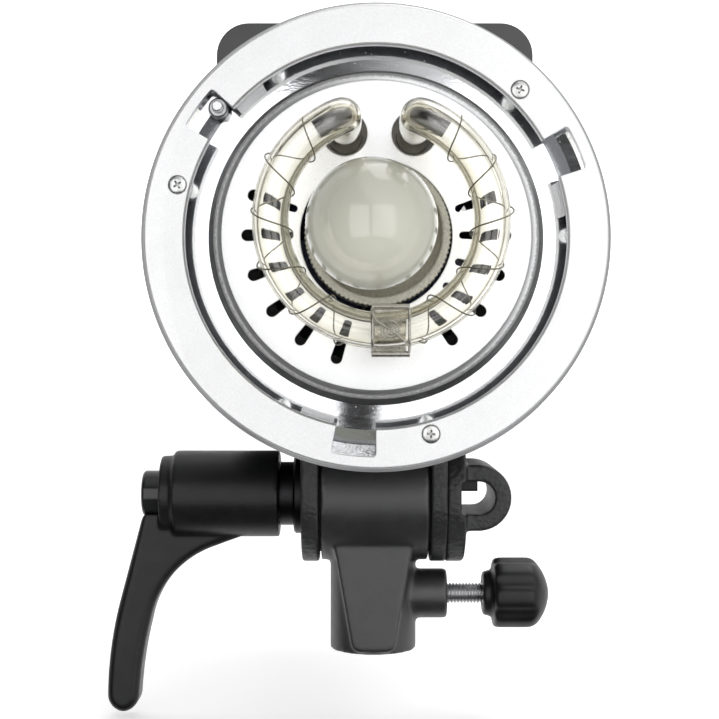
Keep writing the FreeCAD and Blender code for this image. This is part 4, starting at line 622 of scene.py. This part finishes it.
class STROBE_OT_bulb(StrobeOperator, Operator):
    """Make the opal bulb and the porcelain lip round it"""

    bl_idname = "strobe.bulb"
    bl_label = "Bulb"

    def execute(self, context):
        mesh = bmesh.new()
        radius = sizes().bulb_radius
        middle = FACE - 0.027
        neck = 0.0128
        profile = round_points((0, 0), radius, 180, 52, 40)
        profile[0] = (-radius, 0.0)
        profile += [(0.0165, neck + 0.0004), (0.0215, neck), (0.0268, neck - 0.0002), (0.0270, 0)]
        lean = Matrix.Rotation(sizes().bulb_lean, 3, "Z")
        centre = Vector((-sizes().bulb_shift, middle, LAMP + 0.0014))
        turned(mesh, profile, centre, ALONG_Y, ALONG_X)
        bmesh.ops.rotate(mesh, verts=mesh.verts, cent=centre, matrix=lean)
        piece("bulb_globe", mesh, "head", "opal_glass", ["bulb_glass"], angle=80.0)

        mesh = bmesh.new()
        at = Vector((0.0005, FACE, LAMP + 0.001))
        turned(mesh, [
            (0.028, 0.0), (0.031, 0.0), (0.031, 0.020), (0.0114, 0.021), (0.0114, 0.023),
            (-0.0018, 0.023), *round_points((-0.0018, 0.0222), 0.0008, 90, 180, 4), (-0.0026, 0.0208),
            *round_points((-0.0018, 0.0208), 0.0008, 180, 270, 4), (0.0044, 0.0200), (0.0064, 0.0143),
            (0.025, 0.0143), (0.028, 0.0)], at, ALONG_Y, ALONG_X, sizes().lip_teeth * 2)
        teeth = [vert for vert in mesh.verts
                 if vert.co.y < FACE + 0.001 and (vert.co.xz - at.xz).length > 0.0219]
        for vert in teeth:
            angle = math.atan2(vert.co.z - at.z, vert.co.x - at.x)
            if round(angle / math.tau * sizes().lip_teeth * 2) % 2:
                bmesh.ops.translate(mesh, verts=[vert], vec=(at - vert.co).normalized() * 0.0005)
        piece("porcelain_lip", mesh, "head", "porcelain", ["lamp_holder"], angle=40.0)
        return {"FINISHED"}


def eased(path, parts):
    """The same line, each stretch cut into equal parts and its corners softened."""
    fine = [path[0]]
    for a, b in zip(path, path[1:]):
        fine += [a.lerp(b, share / parts) for share in range(1, parts + 1)]
    soft = [(a + b * 2 + c) / 4 for a, b, c in zip(fine, fine[1:], fine[2:])]
    return [fine[0], *soft, fine[-1]]


def wire_path(side):
    """The trigger wire's line on one side: loose turns round the glass, then a lead to the clip."""
    turns = sizes().wire_turns
    spots = []
    steps = turns * 22
    for step in range(steps + 1):
        share = step / steps
        angle = math.radians(128 + (253 - 128) * share)
        turn = math.tau * turns * share + 0.6
        reach = sizes().wire_reach + 0.00035 * math.sin(turn * 0.5 + side)
        out = TUBE_RING + reach * math.cos(turn)
        spots.append(TUBE + Vector((-side * out * math.cos(angle), -reach * math.sin(turn),
                                    out * math.sin(angle))))
    return spots


class STROBE_OT_flash_tube(StrobeOperator, Operator):
    """Wind the trigger wire and shape the clip and the electrodes"""

    bl_idname = "strobe.flash_tube"
    bl_label = "Flash tube"

    def execute(self, context):
        mesh = bmesh.new()
        for side in (-1, 1):
            bar(mesh, wire_path(side), sizes().wire, 8)
        piece("trigger_winding", mesh, "head", "steel", ["trigger_wire"], angle=80.0, material="winding_wire")

        low = TUBE + Vector((CLIP_SHIFT, 0, -TUBE_RING))
        half = 0.0061
        wide = 0.0052
        mesh = bmesh.new()
        for across in (-wide, wide):
            loop = [Vector((across, 0.0046, -half)), Vector((across, -0.003, -half)),
                    Vector((across, -half, -half * 0.6)), Vector((across, -half, half * 0.6)),
                    Vector((across, -0.003, half)), Vector((across, 0.0046, half))]
            bar(mesh, eased([low + spot for spot in loop], 4), 0.00042, 8)
        for up in (-half - 0.0006, half + 0.0006):
            rolled = [low + Vector((across, -0.0022, up)) for across in (-0.0054, -0.002, 0.002, 0.0054)]
            bar(mesh, rolled, 0.00085, 12)
        spiral = [low + Vector(((0.0006 + 0.00085 * turn) * math.cos(math.tau * turn), -half - 0.0002,
                                (0.0006 + 0.00085 * turn) * math.sin(math.tau * turn)))
                  for turn in [step / 20 for step in range(57)]]
        bar(mesh, spiral, 0.00022, 6)
        slant = [low + Vector(spot) for spot in ((-wide, -half, 0.0045), (-0.004, -0.0065, 0.0025),
                                                 (0.002, -0.0066, -0.0014), (wide, -half, -0.0045))]
        bar(mesh, eased(slant, 5), 0.00022, 6)
        block(mesh, low + Vector((-0.0046, 0.0046, -0.0065)), low + Vector((0.0046, 0.0054, 0.0065)), 0.0002)
        block(mesh, low + Vector((-0.003, 0.005, -0.0007)), low + Vector((0.003, 0.0380, 0.0007)), 0.0002)
        block(mesh, low + Vector((-0.005, 0.037, -0.007)), low + Vector((0.005, 0.0380, 0.002)), 0.0002)
        piece("tube_spring_clip", mesh, "head", "steel", ["tube_clip"], material="clip_steel")

        rods = bmesh.new()
        collars = bmesh.new()
        for side in (-1, 1):
            end = math.radians(90 + TUBE_GAP)
            way = Vector((side * math.sin(end), 0, -math.cos(end)))
            start = TUBE + Vector((side * TUBE_RING * math.cos(end), 0, TUBE_RING * math.sin(end)))
            spots = [start - way * 0.0022, start - way * 0.001, start]
            for degrees in range(15, 76, 15):
                turn = math.radians(degrees)
                spots.append(start + way * TUBE_BEND * math.sin(turn)
                             + ALONG_Y * TUBE_BEND * (1 - math.cos(turn)))
            bar(rods, spots, 0.0027, 24)
            leg = start + way * TUBE_BEND
            bar(rods, [leg + ALONG_Y * 0.0045, leg + ALONG_Y * 0.030, leg + ALONG_Y * 0.052], 0.0012, 16)
            turned(collars, [(0.0085, 0.0), (0.0085, 0.0036), *[
                (0.0085 + 0.0005 * step, 0.0039 if step % 2 else 0.0036) for step in range(1, 40)],
                (0.0285, 0.0036), (0.0285, 0.0)], leg, ALONG_Y, ALONG_X, 40)
            turned(rods, [(0.052, 0.0), (0.052, 0.0040), (0.0615, 0.0040), (0.0615, 0.0)],
                   leg, ALONG_Y, ALONG_X, 40)
        piece("electrode_rods", rods, "head", "steel", ["tube_electrodes"], material="cathode")
        piece("leg_collars", collars, "head", "ceramic")
        return {"FINISHED"}


class STROBE_OT_mount(StrobeOperator, Operator):
    """Make the dished chrome floor and the cross-slotted ring screws"""

    bl_idname = "strobe.mount"
    bl_label = "Mount"

    def execute(self, context):
        mesh = bmesh.new()
        slope = math.tan(sizes().floor_slope)
        turned(mesh, [
            (0.0122, 0.0710), (0.0034, 0.0710), (0.0034, 0.0700), (0.0108, 0.0694),
            (0.0112, 0.0660),
            *[(0.0065 + (radius - 0.0515) * slope, radius) for radius in (0.061, 0.058, 0.055, 0.0515)],
            (0.0078, 0.0515), (0.0132, 0.0555), (0.0132, 0.0710), (0.0122, 0.0710)],
            Vector((0, FACE, LAMP)), ALONG_Y, ALONG_X, 180)
        piece("dished_floor", mesh, "head", "chrome", ["recess_floor"], angle=20.0)

        mesh = bmesh.new()
        for number in range(3):
            angle = math.radians(RING_SCREW_TURN + 120 * number)
            at = Vector((RING_SCREWS * math.cos(angle), FACE, LAMP + RING_SCREWS * math.sin(angle)))
            head = bmesh.new()
            turned(head, [(0.0012, 0.0), (0.0012, 0.0026), (0.0002, 0.0028), (-0.0002, 0.0026),
                          (-0.00042, 0.0021), (-0.0005, 0.0012), (-0.0005, 0.0)],
                   Vector(), ALONG_Y, ALONG_X, 48)
            cut = bpy.data.meshes.new("head")
            head.to_mesh(cut)
            head.free()
            top = bpy.data.objects.new("head", cut)
            bpy.context.scene.collection.objects.link(top)
            cross = bmesh.new()
            for turn in (0, 90):
                swing = Matrix.Rotation(math.radians(turn + 20 + 37 * number), 4, "Y")
                made = bmesh.ops.create_cube(cross, size=1,
                                             matrix=swing @ Matrix.Diagonal((0.0030, 0.0016, 0.00062, 1)))
                inner = [vert for vert in made["verts"] if vert.co.y > 0]
                bmesh.ops.scale(cross, verts=inner, vec=(0.45, 1, 0.45))
            tool = bpy.data.meshes.new("cross")
            cross.to_mesh(tool)
            cross.free()
            blade = bpy.data.objects.new("cross", tool)
            bpy.context.scene.collection.objects.link(blade)
            boolean = top.modifiers.new("cross", "BOOLEAN")
            boolean.operation = "DIFFERENCE"
            boolean.use_self = True
            boolean.object = blade
            done = bpy.data.meshes.new_from_object(top.evaluated_get(bpy.context.evaluated_depsgraph_get()))
            bpy.data.objects.remove(top)
            bpy.data.objects.remove(blade)
            done.transform(Matrix.Translation(at))
            mesh.from_mesh(done)
            shank = bmesh.new()
            turned(shank, [(0.001, 0.0), (0.001, 0.0016), (0.020, 0.0016), (0.020, 0.0)],
                   at, ALONG_Y, ALONG_X, 24)
            rod = bpy.data.meshes.new("shank")
            shank.to_mesh(rod)
            shank.free()
            mesh.from_mesh(rod)
        piece("ring_cross_screws", mesh, "head", "zinc", ["ring_screws"], angle=30.0)
        return {"FINISHED"}


class STROBE_OT_springs(StrobeOperator, Operator):
    """Wind the springs of the lever, the release and the umbrella clamp"""

    bl_idname = "strobe.springs"
    bl_label = "Springs"

    def execute(self, context):
        spring("lever_helix", "lever_spring", 0, 0.0006, 7)
        spring("release_helix", "lock_spring", 1, 0.0004, 6)
        spring("umbrella_helix", "umbrella_shoe_spring", 2, 0.0003, 4)
        return {"FINISHED"}


SEGMENTS = {"a": (0, 2, 1, 0), "b": (1, 1, 0, 1), "c": (1, 0, 0, 1), "d": (0, 0, 1, 0),
            "e": (0, 0, 0, 1), "f": (0, 1, 0, 1), "g": (0, 1, 1, 0)}
DIGITS = {"5": "afgcd", "0": "abcdef"}


def mark(mesh, x, z, half_x, half_z, face=PANEL, proud=0.00006):
    """A printed bar on a face that looks to the rear."""
    block(mesh, (x - half_x, face - 0.0001, z - half_z), (x + half_x, face + proud, z + half_z))


def ringed(mesh, x, z, radius, width, face, steps=40):
    """A printed ring on a face that looks to the rear."""
    turned(mesh, [(-0.0001, radius), (0.00006, radius), (0.00006, radius + width), (-0.0001, radius + width),
                  (-0.0001, radius)], Vector((x, face, z)), ALONG_Y, ALONG_X, steps)


class STROBE_OT_panel_marks(StrobeOperator, Operator):
    """Light the display and print the marks of the rear panel"""

    bl_idname = "strobe.panel_marks"
    bl_label = "Panel marks"

    def execute(self, context):
        mesh = bmesh.new()
        glass = extent("display_window", 1)[1]
        middle = sum(extent("display_window", 0)) / 2
        height = sum(extent("display_window", 2)) / 2
        step = 0.0058
        for place, digit in ((0.009, "5"), (-0.002, "0")):
            for letter in DIGITS[digit]:
                right, level, flat, upright = SEGMENTS[letter]
                x = middle + place - (right - 0.5 if upright else 0) * step
                z = height + (level - 1 + (0.5 if upright else 0)) * step
                mark(mesh, x, z, 0.0022 if flat else 0.0006, 0.0022 if upright else 0.0006, glass)
        mark(mesh, middle + 0.0035, height - step, 0.0007, 0.0007, glass)
        for bar_at in range(5):
            mark(mesh, middle - 0.012 - 0.0028 * bar_at, height - step + 0.0008 * bar_at,
                 0.0008, 0.0012 + 0.0008 * bar_at, glass)
        piece("display_digits", mesh, "head", "window", smooth=False, material="lit_segments")

        mesh = bmesh.new()
        for tick in range(11):
            angle = math.radians(-135 + 27 * tick)
            out = Vector((math.sin(angle), 0, math.cos(angle)))
            shape = Matrix.Diagonal((0.0006, 0.00014, 0.0022 if tick % 5 else 0.0034, 1))
            seat = Matrix.Translation(DIAL + out * 0.0134) @ Matrix.Rotation(angle, 4, "Y")
            made = bmesh.ops.create_cube(mesh, size=1, matrix=seat @ shape)
            bmesh.ops.bevel(mesh, geom=list({edge for vert in made["verts"] for edge in vert.link_edges}),
                            offset=0.00003, segments=1, affect="EDGES", profile=0.5, material=-1)
        switch_z = sum(extent("power_switch_frame", 2)) / 2
        beside = extent("power_switch_frame", 0)[1] + 0.0035
        mark(mesh, beside, switch_z + 0.0035, 0.0004, 0.0016)
        ringed(mesh, beside, switch_z - 0.0035, 0.0013, 0.0005, PANEL)
        ringed(mesh, sum(extent("sync_socket", 0)) / 2, KEY_ROW, 0.0072, 0.0005, PANEL)
        frame_low, frame_high = extent("display_window", 0)
        for z in extent("display_window", 2):
            side = math.copysign(0.0012, z - height)
            mark(mesh, (frame_low + frame_high) / 2, z + side, (frame_high - frame_low) / 2 + 0.0014, 0.0002)
        piece("panel_print", mesh, "head", "grey_plastic", smooth=False, material="printed_marks")

        for node in ("key_minus", "key_plus", "key_mode", "key_test"):
            mesh = bmesh.new()
            x = sum(extent(node, 0)) / 2
            z = sum(extent(node, 2)) / 2
            face = extent(node, 1)[1]
            if node in ("key_minus", "key_plus"):
                mark(mesh, x, z, 0.0017, 0.0003, face)
            if node == "key_plus":
                for side in (-0.001, 0.001):
                    mark(mesh, x, z + side, 0.0003, 0.0007, face)
            if node == "key_mode":
                for level in (-0.0012, 0, 0.0012):
                    mark(mesh, x, z + level, 0.0014, 0.00022, face)
            if node == "key_test":
                ringed(mesh, x, z, 0.0008, 0.0005, face)
            piece(node + "_mark", mesh, BODY_OF[node], "grey_plastic", smooth=False, material="printed_marks")
        return {"FINISHED"}


class STROBE_OT_fan(StrobeOperator, Operator):
    """Shape the fan's twisted blades"""

    bl_idname = "strobe.fan"
    bl_label = "Fan"

    def execute(self, context):
        near, far = extent("fan_rotor", 1)
        middle = Vector((sum(extent("fan_rotor", 0)) / 2, 0, sum(extent("fan_rotor", 2)) / 2))
        reach = (extent("fan_rotor", 2)[1] - extent("fan_rotor", 2)[0]) / 2 - 0.0002
        hub = 0.009
        mesh = bmesh.new()
        turned(mesh, [(near, 0.0), (near, hub - 0.0008), (near + 0.0008, hub), (far - 0.0012, hub),
                      *round_points((far - 0.0012, hub - 0.0012), 0.0012, 90, 0, 5), (far, 0.0)],
               middle, ALONG_Y, ALONG_X, 64)
        depth = far - near - 0.0012
        for number in range(sizes().fan_blades):
            rows = []
            for ring in range(9):
                out = hub - 0.0004 + (reach - hub) * ring / 8
                row = []
                for part in range(9):
                    share = part / 8
                    sweep = math.tau * number / sizes().fan_blades + math.radians(36) * (share - 0.5)
                    sweep += math.radians(14) * ring / 8
                    belly = 0.0011 * math.sin(math.pi * share)
                    row.append(mesh.verts.new(middle + Vector((
                        out * math.cos(sweep), near + 0.0006 + depth * share * (1 - 0.22 * ring / 8) + belly,
                        out * math.sin(sweep)))))
                rows.append(row)
            skin = [mesh.faces.new((low[k], low[k + 1], high[k + 1], high[k]))
                    for low, high in zip(rows, rows[1:]) for k in range(8)]
            bmesh.ops.solidify(mesh, geom=skin, thickness=0.0009)
        bmesh.ops.recalc_face_normals(mesh, faces=mesh.faces)
        piece("fan_blades", mesh, BODY_OF["fan_rotor"], SLOT_OF["fan_rotor"], ["fan_rotor"])
        return {"FINISHED"}


class STROBE_OT_clamp_screw(StrobeOperator, Operator):
    """Cut a real helix on the stand clamp's screw"""

    bl_idname = "strobe.clamp_screw"
    bl_label = "Clamp screw"

    def execute(self, context):
        mesh = bmesh.new()
        pitch = sizes().thread_pitch
        crest = sizes().thread_radius
        root = crest - pitch * 0.55
        start = Vector((0.0265, 0, CLAMP))
        turns = 14
        profile = ((0, root), (pitch * 0.10, root), (pitch * 0.45, crest), (pitch * 0.60, crest),
                   (pitch * 0.95, root), (pitch, root))
        points = [mesh.verts.new(start + ALONG_X * along + ALONG_Z * radius) for along, radius in profile]
        edges = [mesh.edges.new(pair) for pair in zip(points, points[1:])]
        steps = 36
        bmesh.ops.spin(mesh, geom=points + edges, cent=start, axis=ALONG_X, dvec=ALONG_X * (pitch / steps),
                       angle=math.tau * turns, steps=steps * turns, use_merge=False, use_duplicate=False)
        closed_normals(mesh)
        turned(mesh, [(-0.0153, 0.0), (-0.0153, 0.0032), (-0.0145, 0.0039), (0.0008, 0.0039),
                      (0.0012, root + 0.0001), (0.0150, root + 0.00002), (0.0158, 0.0039),
                      (0.0210, 0.0039), (0.0210, 0.0)],
               start, ALONG_X, ALONG_Z, 48)
        piece("clamp_screw_thread", mesh, "stand_screw", "steel", ["stand_clamp_screw"], angle=40.0)
        return {"FINISHED"}


class STROBE_OT_stage(StrobeOperator, Operator):
    """Set up the camera, the soft lights and the pale floor"""

    bl_idname = "strobe.stage"
    bl_label = "Stage"

    def execute(self, context):
        scene = context.scene
        lens = bpy.data.cameras.new("camera")
        lens.sensor_width = 36.0
        lens.angle = math.radians(VIEW_ANGLE)
        lens.clip_start = 0.01
        camera = bpy.data.objects.new("camera", lens)
        camera.location = CAMERA_AT
        camera.rotation_euler = (math.radians(90), 0, 0)
        scene.collection.objects.link(camera)
        scene.camera = camera
        scene.view_settings.view_transform = "Standard"

        bulb = Vector((0, FACE - 0.027, LAMP))
        for name, side, half, power in (("soft box right", 21.0, 20.0, 6.2),
                                        ("soft box left", -22.0, 17.0, 5.8)):
            light = bpy.data.lights.new(name, "AREA")
            light.shape = "RECTANGLE"
            light.size = 2 * LAMP_FAR * math.tan(math.radians(half))
            light.size_y = 2 * LAMP_FAR * math.tan(math.radians(27))
            light.energy = power
            item = bpy.data.objects.new(name, light)
            angle = math.radians(side)
            item.location = bulb + Vector((math.sin(angle), -math.cos(angle), 0)) * LAMP_FAR
            item.rotation_euler = (bulb - item.location).to_track_quat("-Z", "Y").to_euler()
            scene.collection.objects.link(item)
        top = bpy.data.lights.new("top light", "AREA")
        top.size = 0.9
        top.energy = 5.0
        over = bpy.data.objects.new("top light", top)
        over.location = (0.35, 0.15, 1.25)
        over.rotation_euler = (Vector((0, 0, 0.1)) - over.location).to_track_quat("-Z", "Y").to_euler()
        scene.collection.objects.link(over)

        world = bpy.data.worlds.new("studio")
        world.use_nodes = True
        scene.world = world
        nodes = world.node_tree.nodes
        links = world.node_tree.links
        way = nodes.new("ShaderNodeTexCoord")
        levels = []
        for direction, low, high, dim, full in (((0, 1, 0), -0.1, 0.3, 0.04, 1.0),
                                                ((0.9, -0.3, 0.3), 0.45, 0.7, 0.04, 0.8),
                                                ((0.66, -0.2, 0.72), 0.42, 0.66, 0.04, 0.85)):
            toward = nodes.new("ShaderNodeVectorMath")
            toward.operation = "DOT_PRODUCT"
            toward.inputs[1].default_value = direction
            links.new(way.outputs["Generated"], toward.inputs[0])
            span = nodes.new("ShaderNodeMapRange")
            span.interpolation_type = "SMOOTHSTEP"
            for place, value in ((1, low), (2, high), (3, dim), (4, full)):
                span.inputs[place].default_value = value
            links.new(toward.outputs["Value"], span.inputs[0])
            levels.append(span.outputs[0])
        strongest = levels[0]
        for level in levels[1:]:
            brightest = nodes.new("ShaderNodeMath")
            brightest.operation = "MAXIMUM"
            links.new(strongest, brightest.inputs[0])
            links.new(level, brightest.inputs[1])
            strongest = brightest.outputs[0]
        links.new(strongest, nodes["Background"].inputs["Strength"])
        nodes["Background"].inputs["Color"].default_value = (1, 1, 1, 1)

        mesh = bmesh.new()
        bmesh.ops.create_grid(mesh, x_segments=1, y_segments=1, size=STAGE_HALF,
                              matrix=Matrix.Translation((0, 0, FLOOR_UP)))
        data = bpy.data.meshes.new("floor")
        mesh.to_mesh(data)
        mesh.free()
        floor = bpy.data.objects.new("floor", data)
        scene.collection.objects.link(floor)
        paint = Finish("floor", Roughness=0.9, Emission_Strength=0.45, Emission_Color=(1, 1, 1, 1))
        paint.give(Base_Color=paint.mixed(paint.noise(6), rgba(colours().floor), rgba(colours().floor, 1.02)))
        data.materials.append(paint.material)
        floor.visible_glossy = False

        mesh = bmesh.new()
        bmesh.ops.create_cone(mesh, cap_ends=False, segments=96, radius1=WALL_R, radius2=WALL_R,
                              depth=2 * STAGE_HALF)
        bmesh.ops.reverse_faces(mesh, faces=mesh.faces)
        data = bpy.data.meshes.new("backdrop")
        mesh.to_mesh(data)
        mesh.free()
        wall = bpy.data.objects.new("backdrop", data)
        scene.collection.objects.link(wall)
        cloth = Finish("backdrop", Roughness=0.9, Emission_Strength=1.0, Emission_Color=(1, 1, 1, 1))
        cloth.give(Base_Color=cloth.mixed(cloth.noise(6), rgba(colours().floor), rgba(colours().floor, 1.02)))
        data.materials.append(cloth.material)
        wall.visible_glossy = wall.visible_diffuse = wall.visible_transmission = wall.visible_shadow = False
        return {"FINISHED"}


class STROBE_PT_panel(Panel):
    """Lists the operators of the strobe."""

    bl_idname = "STROBE_PT_panel"
    bl_label = "Monolight Strobe"
    bl_space_type = "VIEW_3D"
    bl_region_type = "UI"
    bl_category = "Strobe"

    def draw(self, context):
        for step in STEPS:
            self.layout.operator(step.bl_idname)


STEPS = (STROBE_OT_stage, STROBE_OT_finishes, STROBE_OT_castings, STROBE_OT_bulb, STROBE_OT_flash_tube,
         STROBE_OT_mount, STROBE_OT_clamp_screw, STROBE_OT_springs, STROBE_OT_panel_marks, STROBE_OT_fan)
CLASSES = (STROBE_PG_sizes, STROBE_PG_colours, *STEPS, STROBE_PT_panel)


def register():
    for item in CLASSES:
        bpy.utils.register_class(item)
    bpy.types.Scene.strobe_sizes = PointerProperty(type=STROBE_PG_sizes)
    bpy.types.Scene.strobe_colours = PointerProperty(type=STROBE_PG_colours)


def unregister():
    del bpy.types.Scene.strobe_colours
    del bpy.types.Scene.strobe_sizes
    for item in reversed(CLASSES):
        bpy.utils.unregister_class(item)


def main():
    register()
    for step in STEPS:
        family, name = step.bl_idname.split(".")
        getattr(getattr(bpy.ops, family), name)()


if __name__ == "__main__":
    main()
